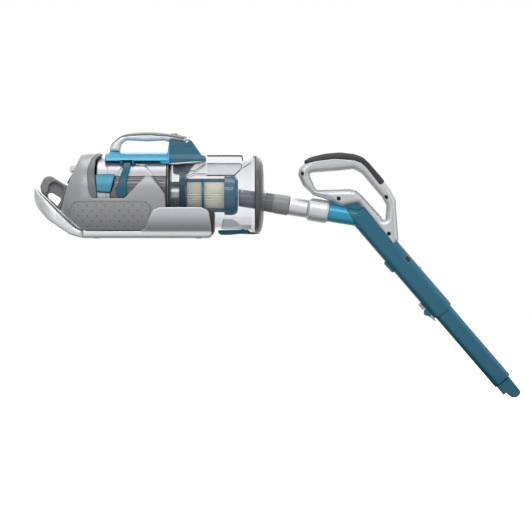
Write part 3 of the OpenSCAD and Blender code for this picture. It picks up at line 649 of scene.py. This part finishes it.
# ---- CAD nodes that only need their edges rounded: node, grid step, edge radius, finish ----
ROUNDED = [
    ("rear_vent_grille", 0.8, 0.7, dark_plastic),
    ("charge_socket", 0.6, 1.0, silver_plastic),
    ("pod_front_plate", 1.0, 0.9, dark_silver_and_pod_shade),
    ("premotor_grille", 0.9, 0.8, latch_grey),
    ("cup_cradle_ring", 1.1, 0.9, dark_plastic),
    ("power_switch", 0.5, 1.0, dark_plastic),
    ("release_button_near", 0.6, 1.6, sky_blue),
    ("release_button_far", 0.6, 1.6, sky_blue),
    ("side_latch_near", 0.6, 1.4, deep_blue),
    ("side_latch_far", 0.6, 1.4, deep_blue),
    ("filter_frame", 0.7, 0.0, filter_blue),
    ("filter_end_cap", 0.6, 0.6, filter_blue),
    ("latch_housing", 0.7, 1.2, silver_plastic),
    ("cup_latch", 0.5, 0.9, deep_blue),
    ("hose_cuff", 0.7, 0.9, cuff_grey),
    ("swivel_cuff", 0.8, 0.8, silver_plastic),
    ("swivel_collar", 0.8, 1.2, silver_plastic),
    ("inner_tube", 0.9, 0.0, blue_plastic),
    ("tele_lock", 0.5, 1.2, latch_grey),
    ("crevice_tool", 0.6, 1.0, blue_plastic),
]
for node, step, edge, finish in ROUNDED:
    stand_in(node, solid(node, step, edge), finish)

# ---- Canister shells, drawn from their outlines and the round they are cut from ----
SHELL_R, SHELL_WALL, DOME_X, DOME_R = 86.0, 3.0, -98.0, 70.0
POD_R, POD_BACK, POD_FRONT = 77.0, -84.0, 54.8
BASE_HALF, FLOOR_WALL = 50.0, 3.0
SHELL_LINE = [(-113, 15.5, 6), (-156.5, 52.5, 6), (-143, 98, 60), (-126, 141, 50), (-117, 164, 14),
              (-110, 182, 0), (-74, 182, 0), (-80, 169, 4), (-93.5, 157, 10), (-101, 133, 24), (-98, 95, 20),
              (-92, 79, 5), (-27, 79, 5), (13, 123, 5), (26, 122, 5), (52, 87, 5), (54, 64, 2), (54, 15.5, 0)]
PANEL_LINE = [(-138, 41, 8), (-131, 71, 12), (14, 71, 6), (25, 61, 4), (16, 16, 4), (-114, 16, 6)]
SKIRT_LINE = [(-112, 0, 0), (-112, 14.5, 0), (2, 14.5, 6), (13, 20, 8), (20, 40, 12), (28, 56, 10),
              (42, 61, 8), (124, 61, 8), (139, 54, 10), (143, 30, 10), (144, 6, 6), (138, 0, 6)]
BOW_LINE = [(-112.4, 14.3, 0), (-127, 22.5, 20), (-156, 47.5, 40), (-199, 89, 30), (-210, 104, 1),
            (-214, 84, 12), (-204, 61, 30), (-182, 37.5, 40), (-137, 7, 30), (-112.4, 0.3, 0)]
BOW_BACK, BOW_HALF, BOW_WALL = -213.0, 50.0, 8.0
LOOP_LINE = [(-156.6, 53.5, 0), (-168, 63, 20), (-196, 91, 12), (-199, 104, 12), (-190, 122, 10),
             (-178, 125, 10), (-149.5, 107.5, 0), (-141.6, 102.8, 0)]
LOOP_HOLE = [(-184, 82, 4), (-164, 63.5, 3), (-155.5, 79, 5), (-176, 91.5, 7), (-184.5, 90, 4)]
LOOP_FLARE = [(-185, 82, 4), (-178, 76, 4), (-153, 80, 5), (-149.8, 103, 6), (-166, 114, 10), (-180, 110, 10)]
RIM_LINE = [(-80.3, 168.3, 0), (-76.5, 167.5, 0), (-87.5, 155, 10), (-88.7, 130, 20), (-84, 92, 4),
            (-84, 79.5, 0), (-92, 79.5, 3), (-98, 95.5, 20), (-100.8, 133, 24), (-93.2, 157.2, 10)]
BLOCK_LINE = [(40, 155, 2), (43, 147.5, 4), (72, 146, 10), (107, 149, 20), (131.5, 153.5, 3),
              (131.5, 164, 3), (124, 166, 3), (102, 197, 3), (93.5, 191, 3), (84, 193, 10), (64, 196, 3),
              (58.6, 192.3, 3), (56, 173, 2), (56, 160, 0)]
BLOCK_FACE = [(-51, 144, 0), (51, 144, 0), (48, 158, 4), (36, 166, 6), (22, 185, 10), (17, 198, 0),
              (-17, 198, 0), (-22, 185, 10), (-36, 166, 6), (-48, 158, 4)]


def node_field(node, step):
    """An empty field as large as a CAD node."""
    low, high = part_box(node)
    return Field(np.array(low) / MM, np.array(high) / MM, step)


def dome(field):
    """Distance to the round that the side shells are cut from."""
    behind = np.maximum(DOME_X - field.x, 0)
    return np.hypot(behind, np.maximum(field.from_axis() - (SHELL_R - DOME_R), 0)) - DOME_R


SIDES = ((-1, "near"), (1, "far"))
PANEL_GAP, PANEL_SEAT, PANEL_WALL = 0.5, 1.7, 1.6
PANEL_BORDER = 5.0  # plain edge round a panel's lines and dots
LINE_PITCH, LINE_HALF, LINE_START, LINE_DEPTH = 5.2, 0.55, 20.0, 0.3
DOT_PITCH_X, DOT_PITCH_Z, DOT_R, DOT_DEPTH = 18.0, 10.4, 1.35, 1.5
DOT_START_X, DOT_START_Z = -200.0, 17.4
PANEL_INNER_Y = 30.0
for side, name in SIDES:
    shell = node_field("body_shell_" + name, 1.2)
    outside = dome(shell)
    panel_edge = flat_outline(shell, loop(PANEL_LINE))
    shell.d = meet(flat_outline(shell, loop(SHELL_LINE)), outside, 3.4, 2.6)
    shell.cut(outside + SHELL_WALL)
    shell.cut(common(panel_edge - PANEL_GAP, -outside - PANEL_SEAT))
    shell.keep(SEAM_HALF - side * shell.y)
    stand_in("body_shell_" + name, shell, grey_shell)

    panel = node_field("exhaust_panel_" + name, 0.75)
    outside = dome(panel)
    edge = flat_outline(panel, loop(PANEL_LINE))
    panel.d = meet(edge + 0.3, outside + 0.1, 1.0, 0.8)
    panel.cut(outside + PANEL_WALL)
    inset = edge + PANEL_BORDER
    rows = np.abs((panel.z - LINE_START) % LINE_PITCH - LINE_PITCH / 2) - LINE_HALF
    panel.cut(common(common(rows, -outside - LINE_DEPTH), inset))
    up = panel.z - DOT_START_Z
    stagger = np.where((up // DOT_PITCH_Z) % 2 < 1, 0.0, DOT_PITCH_X / 2)
    dot_x = (panel.x + stagger - DOT_START_X) % DOT_PITCH_X - DOT_PITCH_X / 2
    dot_z = up % DOT_PITCH_Z - DOT_PITCH_Z / 2
    dots = common(np.hypot(dot_x, dot_z) - DOT_R, -outside - DOT_DEPTH)
    panel.cut(common(dots, inset))
    panel.keep(PANEL_INNER_Y - side * panel.y)
    stand_in("exhaust_panel_" + name, panel, panel_grey)

TUB_TOP, HOLLOW_TOP, CRADLE_BACK, CRADLE_GAP = 22, 30, -109.5, 0.3
BASE_EDGE = 8  # radius of the base's long edges
BASE_HOLES = ([(x, y, 6.3, 1.5) for x in (-86, 118) for y in (-34, 34)]  # feet: x, y, radius, depth
              + [(x, y, 3.5, 1.6) for x in (-60, 84) for y in (-22, 22)])   # screws
cradle = node_field("lower_cradle", 1.1)
side, under = np.abs(cradle.y) - BASE_HALF + BASE_EDGE, BASE_EDGE - cradle.z
tub = np.where(common(side, under) > 0, np.hypot(np.maximum(side, 0), np.maximum(under, 0)),
               common(side, under)) - BASE_EDGE
tub = common(tub, cradle.z - TUB_TOP)
hull = np.minimum(cradle.from_axis() - SHELL_R - 2.2, tub)
hollow = np.minimum(cradle.from_axis() - SHELL_R - CRADLE_GAP,
                    common(np.abs(cradle.y) - BASE_HALF + FLOOR_WALL, cradle.z - HOLLOW_TOP))
hollow = common(common(hollow, FLOOR_WALL - cradle.z), CRADLE_BACK - cradle.x)
cradle.d = meet(flat_outline(cradle, loop(SKIRT_LINE)), hull, 4.0, 1.6)
cradle.cut(hollow)
for x, y, hole_r, depth in BASE_HOLES:
    cradle.cut(common(np.hypot(cradle.x - x, cradle.y - y) - hole_r, cradle.z - depth))
stand_in("lower_cradle", cradle, silver_plastic, 8)

bow = node_field("rear_bow", 0.9)
turn_x = BOW_BACK + BOW_HALF
plan = np.where(bow.x < turn_x, np.hypot(bow.x - turn_x, bow.y), np.abs(bow.y)) - BOW_HALF
bow.d = meet(flat_outline(bow, loop(BOW_LINE)), plan, 10.0, 4.5)
bow.cut(plan + BOW_WALL)
stand_in("rear_bow", bow, silver_plastic, 20)

LOOP_HALF, FLARE_FROM_Y = 20.0, 9.0
LOOP_ARC = [(-181, 106), (-168, 109), (-156, 101), (-152.5, 90)]  # a thin raised line in each flare
ARC_Y, ARC_HALF, ARC_THICK = 8.6, 1.0, 1.2
grip = node_field("rear_grip_loop", 0.8)
ring = common(flat_outline(grip, loop(LOOP_LINE)), -flat_outline(grip, loop(LOOP_HOLE)))
grip.d = meet(ring, np.abs(grip.y) - LOOP_HALF, 5.0)
grip.cut(common(flat_outline(grip, loop(LOOP_FLARE)), FLARE_FROM_Y - np.abs(grip.y)))
grip.add(common(near_line(grip, LOOP_ARC) - ARC_HALF, np.abs(np.abs(grip.y) - ARC_Y) - ARC_THICK))
stand_in("rear_grip_loop", grip, loop_grey)

rim = Field((-104, -86, 78), (-72, 86, 172), 0.9)
rim.d = meet(flat_outline(rim, loop(RIM_LINE)) - 1.3, dome(rim) + 0.8, 2.5)
rim.cut(rim.from_axis() - POD_R - 0.8)
stand_in("shell_rim", rim, rim_dark)

RAIL_BACK, RAIL_FRONT, RAIL_BOTTOM, RAIL_HALF = -68.0, 56.5, 153.0, 52.0
BLOCK_START = 60.0  # where the rail ends and the darker block starts; the rail is drawn in a lighter blue as a painted highlight
TRIM_START = 59.0
base = node_field("handle_base", 0.9)
radius = base.from_axis()
ends = common(RAIL_BACK - base.x, base.x - RAIL_FRONT)
rail = meet(common(ends, RAIL_BOTTOM - base.z), radius - SHELL_R - 0.5, 3.0)
rail = common(rail, np.abs(base.y) - RAIL_HALF)
block = meet(flat_outline(base, loop(BLOCK_LINE)), cross_outline(base, loop(BLOCK_FACE)), 3.0)
post = common(common(np.abs(base.x + 50) - 12, np.abs(base.y) - 15), np.abs(base.z - 166) - 6.4)
base.d = np.minimum(np.minimum(rail, block), post)
base.cut(common(radius - POD_R - 0.3, base.x - BLOCK_START))
base.cut(common(radius - 69.5, TRIM_START - base.x))
inner = common(radius - SHELL_R + SHELL_WALL, common(-62.0 - base.x, base.x - 50.0))
base.cut(common(common(inner, np.abs(base.y) - 40.0), 150.0 - base.z))
hollow_half = 26.0 - (base.z - 140.0) * 11.0 / 42.0
base.cut(common(common(np.abs(base.y) - hollow_half, base.z - 182.0), np.abs(base.x - 90.0) - 22.0))
latch_gap = common(common(np.abs(base.x + 23.5) - 12.5, 38.0 - np.abs(base.y)), base.z - 154.4)
base.cut(latch_gap)
under = base.z - 148.3 - (base.x - 58.0) * 0.078
trim = base.copy().keep(common(under, TRIM_START - base.x))
base.cut(common(under - 0.2, TRIM_START - 0.2 - base.x))
# The rail is split off to take the lighter blue: a painted highlight on its top
rail_part = base.copy()
rail_part.keep(base.x - BLOCK_START)
base.cut(base.x - BLOCK_START + 0.2)
stand_in("handle_base", base, deep_blue, 5)
extra("handle_rail", rail_part, highlight_blue, "canister", 5)
extra("handle_base_trim", trim, silver_plastic, "canister")

# ---- Motor pod: grooves, a lower part in painted shade and the ears of the side latches ----
POD_GROOVES_Z, POD_GROOVE_X, POD_GROOVE_HALF = (105.0, 113.0, 120.5), -4.0, 54.0
POD_RING_X = -62.5
POD_LINES = ([(-13, 146), (12, 144), (54, 87)], [(-55, 93), (-45, 119), (-35, 137), (-28, 144)])
LOWER_TOP, LOWER_BACK, EARS_TOP = 122.6, -56.0, 145.5
pod = solid("motor_pod", 1.15)
ears = Field((-39, -62, 138), (-7, 62, 156), 0.7)
ears.read(level_set(*cad_triangles("motor_pod"), 0.7, 0))
radius = pod.from_axis()
pod.keep(meet(common(POD_BACK - pod.x, pod.x - POD_FRONT), radius - POD_R, 2.5))
for line_z in POD_GROOVES_Z:
    groove = np.hypot(radius - POD_R, pod.z - line_z) - 1.0
    pod.cut(common(groove, np.abs(pod.x - POD_GROOVE_X) - POD_GROOVE_HALF))
for points in POD_LINES:
    pod.cut(common(near_line(pod, points) - 0.9, POD_R - 1.2 - radius))
pod.cut(np.hypot(radius - POD_R, pod.x - POD_RING_X) - 1.1)
# The lower part is split off and drawn darker: painted shade on the pod's lower half
low_pod = pod.copy()
low_pod.keep(common(low_pod.z - LOWER_TOP, LOWER_BACK - low_pod.x))
pod.cut(common(pod.z - LOWER_TOP - 0.3, LOWER_BACK - 0.3 - pod.x))
stand_in("motor_pod", pod, pod_silver)
extra("motor_pod_lower", low_pod, dark_silver_and_pod_shade, "canister")
ears.cut(ears.from_axis() - POD_R + 0.4)
ears.keep(EARS_TOP - ears.z)
extra("latch_ears", ears, deep_blue, "canister")

# ---- Wand tube: rounded end, crease at the bend, and the parts that sit on it ----
WAND_END, END_BULGE, WAND_HALF_W = 250.0, 4.5, 22.5
tube = solid("wand_tube", 1.0)
across = tube.along(bend_at, wand_up)
tube.keep(tube.along(bend_at, wand_along) - WAND_END + END_BULGE * np.clip(across / WAND_HALF_W, -1, 1) ** 2)
# The stub past the crease is drawn in the lighter blue: a painted highlight on the round stub
stub = tube.copy()
crease = tube.x + (tube.z - 41.0) * 0.55 - 423.0
stub.keep(common(crease, tube.along(bend_at, tube_along) + 2.0))
tube.cut(common(crease - 0.25, tube.along(bend_at, tube_along) + 1.75))
stand_in("wand_tube", tube, blue_plastic)
extra("wand_stub", stub, highlight_blue, "wand")

SADDLE_LINE = [(376, 66, 2), (377, 74, 1), (398, 74, 6), (416, 68, 12), (436, 69.5, 6), (447.5, 67, 2),
               (457, 54, 2), (445, 40, 8), (420, 48, 8), (379, 52, 2)]
saddle = slab((374, -18, 38), (459, 18, 76), SADDLE_LINE, 11.0, 3.0, 0.8)
extra("wand_saddle", saddle, blue_plastic, "wand")


def on_wand(w, v):
    """The point w along the wand from its bend and v across it, as (x, z)."""
    point = bend_at + wand_along * w + wand_up * v
    return point[0], point[2]


def wand_plate(name, corners, half, edge, finish, step=0.6, inner=0.0):
    """A plate on the wand from an outline given along and across it. inner leaves only |y| above it."""
    line = [(*on_wand(w, v), r) for w, v, r in corners]
    low, high = np.min([c[:2] for c in line], 0), np.max([c[:2] for c in line], 0)
    f = slab((low[0], -half, low[1]), (high[0], half, high[1]), line, half, edge, step)
    if inner:
        f.cut(np.abs(f.y) - inner)
    return extra(name, f, finish, "wand")


def oblong(w0, v0, w1, v1, radius=0):
    """The corners of a right-angled plate."""
    return [(w0, v0, radius), (w1, v0, radius), (w1, v1, radius), (w0, v1, radius)]


CLIP_LINE = [(95, -20.5, 0), (96, -25.5, 1.5), (99, -27, 1.5), (122, -26.5, 1.5), (124, -20.5, 0)]
STUD_LINE = [(149, 21, 0.5), (154, 21, 0.5), (154, 23.5, 1), (149, 23.5, 1)]
LEVER_LINE = [(237, -21, 0), (237.5, -27.6, 1), (251, -25.2, 1), (252, -22.4, 0)]
PATCH, PATCH_EDGES = (114, 8.5, 129, 20), ((114, 8.5, 129, 9.7), (114, 18.8, 129, 20), (114, 8.5, 115.2, 20),
                                           (127.8, 8.5, 129, 20))
wand_plate("wand_clip", CLIP_LINE, 8.0, 1.2, blue_plastic)
wand_plate("wand_patch", oblong(*PATCH, 1.5), 18.25, 0.25, clear_blue, inner=17.0)
for k, edge in enumerate(PATCH_EDGES):
    wand_plate("wand_patch_line_%d" % k, oblong(*edge), 18.5, 0.2, cuff_grey, 0.4, inner=17.6)
wand_plate("wand_stud", STUD_LINE, 3.0, 0.8, blue_plastic)
for k, w in enumerate((231.0, 235.5)):
    wand_plate("wand_end_rib_%d" % k, oblong(w, 19.5, w + 1.8, 23.0, 0.5), 7.0, 0.5, blue_plastic)
wand_plate("lock_lever", LEVER_LINE, 9.4, 1.0, latch_grey)

# ---- See-through parts ----
clear_copy("dust_cup", clear_cup)
clear_copy("inner_duct", clear_duct)


def edge_strip(name, points, y0, y1, thick, finish, step=0.6):
    """A thin edging on the cup along a line seen from the side, between y0 and y1 on both sides."""
    points = np.array(points, float)
    low, high = points.min(0) - thick, points.max(0) + thick
    f = Field((low[0], -y1, low[1]), (high[0], y1, high[1]), step)
    f.d = common(near_line(f, points) - thick / 2, np.abs(np.abs(f.y) - (y0 + y1) / 2) - (y1 - y0) / 2)
    return extra(name, f, finish, "cup", 2)


RIDGE_EDGE = [(135, 165.0), (202, 165.0), (205, 162.5), (205, 156)]
DUCT_EDGE = [(135, 149.4), (200, 149.4), (202.6, 147), (202.6, 139.5), (190, 127)]
edge_strip("cup_ridge_edge", RIDGE_EDGE, 18.4, 20.2, 1.8, dark_plastic)
edge_strip("duct_upper_edge", DUCT_EDGE, 12.0, 13.6, 1.7, dark_plastic)
edge_strip("duct_lower_seal", [(134, 126.0), (190, 126.0)], 11.4, 13.6, 2.0, rubber)
edge_strip("duct_flap_wire", [(205, 140.5), (221, 150.5)], 11.6, 12.8, 1.2, dark_plastic)

funnel = Field((66, -40, 126), (114, 40, 151), 0.9)
FUNNEL_LINE = [(67, 150, 2), (67, 129, 4), (74, 127.5, 4), (96, 127.5, 4), (100.5, 138, 12), (112, 150, 2)]
spread = 14.0 + (112.0 - funnel.x) * 0.4
funnel.d = meet(flat_outline(funnel, loop(FUNNEL_LINE)), np.abs(funnel.y) - spread, 3.0)
funnel.keep(funnel.from_axis() - 64.8)
extra("cyclone_funnel", funnel, duct_grey, "cup")

# Moulded swirl lines on the inside of the cup's wall
CUP_INSIDE, SWIRL_HALF = 65.2, 8.0
SWIRLS = ([(72, 143, 0), (90, 133, 12), (112, 135, 12), (130, 148, 0)],
          [(82, 108, 0), (92, 122, 12), (110, 129, 12), (134, 128, 0)])
for k, line in enumerate(SWIRLS):
    points = rounded(line)
    swirl = Field((70, -68, 104), (138, 68, 152), 0.8)
    swirl.d = common(near_line(swirl, points) - 0.7, np.abs(swirl.from_axis() - CUP_INSIDE + 0.2) - 0.7)
    swirl.cut(np.abs(swirl.y) - SWIRL_HALF)
    extra("swirl_line_%d" % k, swirl, dark_plastic, "cup", 2)

# Clear blue collar inside the cup, round the filter's neck
collar = Field((78, -66, 20), (94, 66, 152), 0.9)
radial = collar.from_axis()
collar.d = meet(np.abs(collar.x - 86.0) - 6.2, np.abs(radial - 55.0) - 9.0, 1.5)
extra("filter_collar", collar, clear_blue, "cup")

# The inlet tube, with a lip that reaches back to the filter's cap
points, faces = cad_triangles("inlet_tube")
low, high = (np.array(corner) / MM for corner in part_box("inlet_tube"))
LIP, LIP_OVERLAP, LIP_BACK, LIP_STEP = 8.0, 4.0, 197.0, 0.8
lip_move = (-LIP * tube_along).astype(np.float32)
inlet = Field(np.minimum(low, low + lip_move), high, LIP_STEP)
lip = inlet.copy().read_shape(points + lip_move, faces)
inlet.read_shape(points, faces)
lip.keep(lip.x - low[0] - LIP_OVERLAP)
inlet.add(lip.d)
inlet.keep(LIP_BACK - inlet.x)
stand_in("inlet_tube", inlet, duct_grey)

# ---- Door: a dark moulded frame round a clear window ----
WINDOW_R, DOOR_R, GROOVE_R, DOOR_GROOVES_X = 60.0, 77.4, 1.1, (234.6, 240.2)
door = solid("door_panel", 0.9)
frame_part = door.copy()
frame_part.keep(WINDOW_R - frame_part.from_axis())
for groove_x in DOOR_GROOVES_X:
    frame_part.cut(np.hypot(frame_part.x - groove_x, frame_part.from_axis() - DOOR_R) - GROOVE_R)
door.keep(door.from_axis() - WINDOW_R + 0.2)
extra("door_frame", frame_part, door_grey, "door")
stand_in("door_panel", door, clear_door)

# ---- Loop handle of the wand and the carry grip: one rounded form, split where the soft cover starts ----
GRIP_GAP, SEAM_WIDTH = 0.25, 2.4


def soft_handle(shell_nodes, pad_node, shell_slice, pad_slice, half, pad_half, edge, step, cut=None,
                spread=0.0):
    """Two neighbouring outlines made into one rounded bar: fields of its hard part and its soft part.

    The slices are (node, y). cut gives a distance to take away from both, and spread widens the soft part.
    """
    shell_line = slice_at(*shell_slice)
    pad_line = slice_at(*pad_slice)
    corners = [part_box(node) for node in (*shell_nodes, pad_node)]
    low = np.min([np.array(c[0]) for c in corners], 0) / MM
    high = np.max([np.array(c[1]) for c in corners], 0) / MM
    hard = Field(low, high, step)
    both = joined_outline(shell_line, pad_line, *hard.side_view())[:, None, :]
    pad = flat_outline(hard, pad_line)
    hard.d = rounded_slab(both, hard.y, half, edge).astype(np.float32)
    soft = hard.copy()
    soft.d = rounded_slab(both, soft.y, pad_half, edge).astype(np.float32)
    soft.keep(pad - spread)
    hard.cut(pad - spread - GRIP_GAP)
    if cut is not None:
        hard.cut(cut(hard))
        soft.cut(cut(soft))
    soft.seam = flat_outline(soft, shell_line) - SEAM_WIDTH
    return hard, soft


WAND_W, WAND_D, WAND_CORNER, WAND_BACK = 44.0, 36.0, 14.5, 14.0
STUB_R, STUB_LENGTH = 18.6, 70.0


def wand_outside(field, grow):
    """Distance to the outside of the wand's stub and tube."""
    centre = field.along(bend_at, wand_along)
    across = field.along(bend_at, wand_up)
    half_w, half_d, corner = WAND_W / 2 + grow, WAND_D / 2 + grow, WAND_CORNER
    a = np.abs(across) - half_w + corner
    b = np.abs(field.y) - half_d + corner
    bar = round_corner(a, b, corner)
    bar = common(bar, -WAND_BACK - grow - centre)
    stub_s = field.along(bend_at, tube_along)
    radial = np.sqrt(np.maximum((field.x - bend_at[0]) ** 2 + field.y ** 2 + (field.z - bend_at[2]) ** 2
                                - stub_s ** 2, 0))
    stub = common(radial - STUB_R - grow, common(stub_s - 1.0, -STUB_LENGTH - stub_s))
    return np.minimum(bar, stub)


hard, soft = soft_handle(["wand_handle_near", "wand_handle_far"], "wand_handle_overmold",
                         ("wand_handle_far", 19.0), ("wand_handle_overmold", 0.0), 20.0, 20.4, 13.0, 1.0,
                         cut=lambda f: wand_outside(f, 0.35), spread=2.6)
SCREW_PLACES, SCREW_HOLE_R, SCREW_SEAT_Y = [(324, 129), (397, 79), (491.5, 82), (497, 9)], 3.9, -15.9
for side, name in SIDES:
    half = hard.copy()
    half.keep(SEAM_HALF - side * half.y)
    if side < 0:
        for x, z in SCREW_PLACES:
            half.cut(common(np.hypot(half.x - x, half.z - z) - SCREW_HOLE_R, half.y - SCREW_SEAT_Y))
    stand_in("wand_handle_" + name, half, handle_silver, 12)
stand_in("wand_handle_overmold", soft, grip_black)

hard, soft = soft_handle(["carry_grip"], "carry_grip_overmold", ("carry_grip", 12.0),
                         ("carry_grip_overmold", 13.0), 13.0, 13.9, 8.0, 0.8)
stand_in("carry_grip", hard, grip_silver, 10)
HEEL_LINE = [(83, 194.6, 1), (86, 201, 1.5), (97.5, 200.2, 1.5), (101.5, 197.4, 1.2), (99, 195, 1)]
heel = slab((82, -12, 194), (103, 12, 204), HEEL_LINE, 10.5, 1.6, 0.6)
extra("carry_grip_heel", heel, grip_silver, "canister")
seam = soft.copy()
seam.keep(soft.seam)
soft.cut(soft.seam - 0.1)
stand_in("carry_grip_overmold", soft, grip_grey, 5)
extra("carry_grip_seam", seam, rim_dark, "canister")

# ---- Coil springs behind the release buttons, as long as their CAD nodes ----
SPRING_TURNS, WIRE, PRESS, PRESS_ROOM = 4.5, 0.55, 3.0, 0.1
COIL_POINTS, RING_POINTS = 140, 10
for side, end in SIDES:
    node = "button_spring_" + end
    low, high = (np.array(corner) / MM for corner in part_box(node))
    middle, radius = (low + high) / 2, (high[2] - low[2]) / 2 - WIRE
    reach = high[1] - low[1]
    turn = np.linspace(0, 2 * math.pi * SPRING_TURNS, COIL_POINTS)
    run = low[1] + WIRE + (reach - 2 * WIRE) * turn / turn[-1]
    centre = np.stack([middle[0] + radius * np.cos(turn), run, middle[2] + radius * np.sin(turn)], 1)
    outward = np.stack([np.cos(turn), 0 * turn, np.sin(turn)], 1)
    ring_at = np.arange(RING_POINTS) * 2 * math.pi / RING_POINTS
    spots = (centre[:, None, :] + WIRE * (np.cos(ring_at)[None, :, None] * outward[:, None, :]
                                          + np.sin(ring_at)[None, :, None] * np.array([0.0, 1.0, 0.0])))
    i, j = np.meshgrid(np.arange(COIL_POINTS - 1), np.arange(RING_POINTS), indexing="ij")
    k = (j + 1) % RING_POINTS
    quads = np.stack([i * RING_POINTS + j, i * RING_POINTS + k, (i + 1) * RING_POINTS + k,
                      (i + 1) * RING_POINTS + j], -1).reshape(-1, 4)
    coil = bpy.data.meshes.new(node)
    ends = [list(range(RING_POINTS)), [(COIL_POINTS - 1) * RING_POINTS + m for m in range(RING_POINTS)][::-1]]
    coil.from_pydata((spots.reshape(-1, 3) * MM).tolist(), [], quads.tolist() + ends)
    coil.shade_smooth()
    piece = place(node + "_coil", coil, steel, "canister", [node])
    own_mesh(piece)

# ---- CAD nodes kept as they are, with their own finishes ----
KEPT = {
    "base_feet": rubber, "cradle_screws": steel, "latch_pins": black_steel, "battery_cells": cell_wrap,
    "battery_tray": dark_plastic, "circuit_board": board,
    "motor_can": steel, "motor_stator": copper, "motor_bearings": steel, "motor_rotor": steel,
    "fan_impeller": grey_shell, "fan_housing": dark_plastic, "pleated_filter": paper, "cup_seal": rubber,
    "cup_latch_pin": steel, "door_seal": rubber, "door_hinge_pin": steel, "handle_screws": black_steel,
}
for node, (slot, material) in KEPT.items():
    piece = frame["nodes"][node]
    piece.data.materials.clear()
    piece.data.materials.append(material)

# ---- Stage, lights and camera ----
SENSOR = 36.0
CAMERA_AWAY = 6.0
VIEW_WIDTH = 1.06
VIEW_CENTRE = Vector((0.250, 0.0, -0.0532))
FLOOR_Z = -0.36

scene = bpy.context.scene
scene.view_settings.view_transform = "Standard"
lens = bpy.data.cameras.new("camera")
lens.sensor_width = SENSOR
lens.lens = SENSOR * CAMERA_AWAY / VIEW_WIDTH
lens.clip_end = 100.0
camera = scene_object("camera", lens)
camera.location = VIEW_CENTRE + Vector((0, -CAMERA_AWAY, 0))
camera.rotation_euler = (math.radians(90), 0, 0)
scene.camera = camera

floor_mesh = bpy.data.meshes.new("floor")
FLOOR_HALF = 12.0
spots = [(x * FLOOR_HALF, y * FLOOR_HALF, FLOOR_Z) for x, y in ((-1, -1), (1, -1), (1, 1), (-1, 1))]
floor_mesh.from_pydata(spots, [], [(0, 1, 2, 3)])
floor = scene_object("floor", floor_mesh)
s = Shader(bpy.data.materials.new("pale_floor"))
# Mirrored rays see it dark under the part and brighter further off: a painted shadow under the part
from_part = s.add("ShaderNodeSeparateXYZ")
s.link(s.place, from_part.inputs[0])
off_centre = s.add("ShaderNodeMath", operation="ABSOLUTE")
s.link(from_part.outputs["Y"], off_centre.inputs[0])
shadowed_floor_glow = s.add("ShaderNodeEmission")
s.link(s.mix(s.span(off_centre.outputs[0], 0.0, 1.0, 0.05, 0.42), (0.05, 0.05, 0.052), (0.85, 0.85, 0.86)),
       shadowed_floor_glow.inputs["Color"])
glow = s.surface(s.mix(s.noise(400, detail=2), (0.55, 0.55, 0.55), (0.58, 0.58, 0.58)),
                 s.span(s.noise(60), 0.85, 0.95), None, Emission_Strength=0.85)
glow.inputs["Emission Color"].default_value = (1, 1, 1, 1)
s.choose(s.add("ShaderNodeLightPath").outputs["Is Camera Ray"], shadowed_floor_glow, glow)
floor.data.materials.append(s.owner)

# The studio: white for the camera, and for other rays a grey that changes with height
world = bpy.data.worlds.new("studio")
scene.world = world
s = Shader(world, "ShaderNodeOutputWorld")
seen, lit = s.add("ShaderNodeBackground"), s.add("ShaderNodeBackground")
seen.inputs["Color"].default_value = (1, 1, 1, 1)
height = s.add("ShaderNodeSeparateXYZ")
s.link(s.coords["Generated"], height.inputs["Vector"])
ramp = s.add("ShaderNodeValToRGB")
s.link(s.span(height.outputs["Z"], 0.0, 1.0, -1.0), ramp.inputs["Fac"])
stops = ramp.color_ramp.elements
stops[0].position, stops[0].color = 0.0, (0.14, 0.14, 0.145, 1)
stops[1].position, stops[1].color = 1.0, (0.90, 0.90, 0.91, 1)
for spot, level in ((0.40, 0.30), (0.49, 0.55), (0.60, 0.66), (0.75, 0.95)):
    stop = stops.new(spot)
    stop.color = (level, level, level * 1.02, 1)
s.link(ramp.outputs["Color"], lit.inputs["Color"])
s.choose(s.add("ShaderNodeLightPath").outputs["Is Camera Ray"], lit, seen)

# Softboxes: name, place, size (wide, tall), watts
SOFTBOXES = [
    ("key", (0.1, -2.2, 1.9), (2.6, 0.9), 24.0),
    ("front", (-0.9, -3.4, 0.5), (1.6, 1.4), 9.0),
    ("top", (0.2, 0.3, 2.6), (2.4, 1.4), 26.0),
    ("back", (0.4, 2.6, 1.4), (2.6, 1.2), 14.0),
    ("right", (2.8, -0.6, 0.6), (1.2, 1.6), 6.0),
]
aim = Vector((0.2, 0.0, 0.0))
for name, spot, (wide, tall), watts in SOFTBOXES:
    lamp = bpy.data.lights.new(name, "AREA")
    lamp.shape = "RECTANGLE"
    lamp.size, lamp.size_y = wide, tall
    lamp.energy = watts
    light = scene_object(name, lamp)
    light.location = spot
    light.rotation_euler = (aim - Vector(spot)).to_track_quat("-Z", "Y").to_euler()
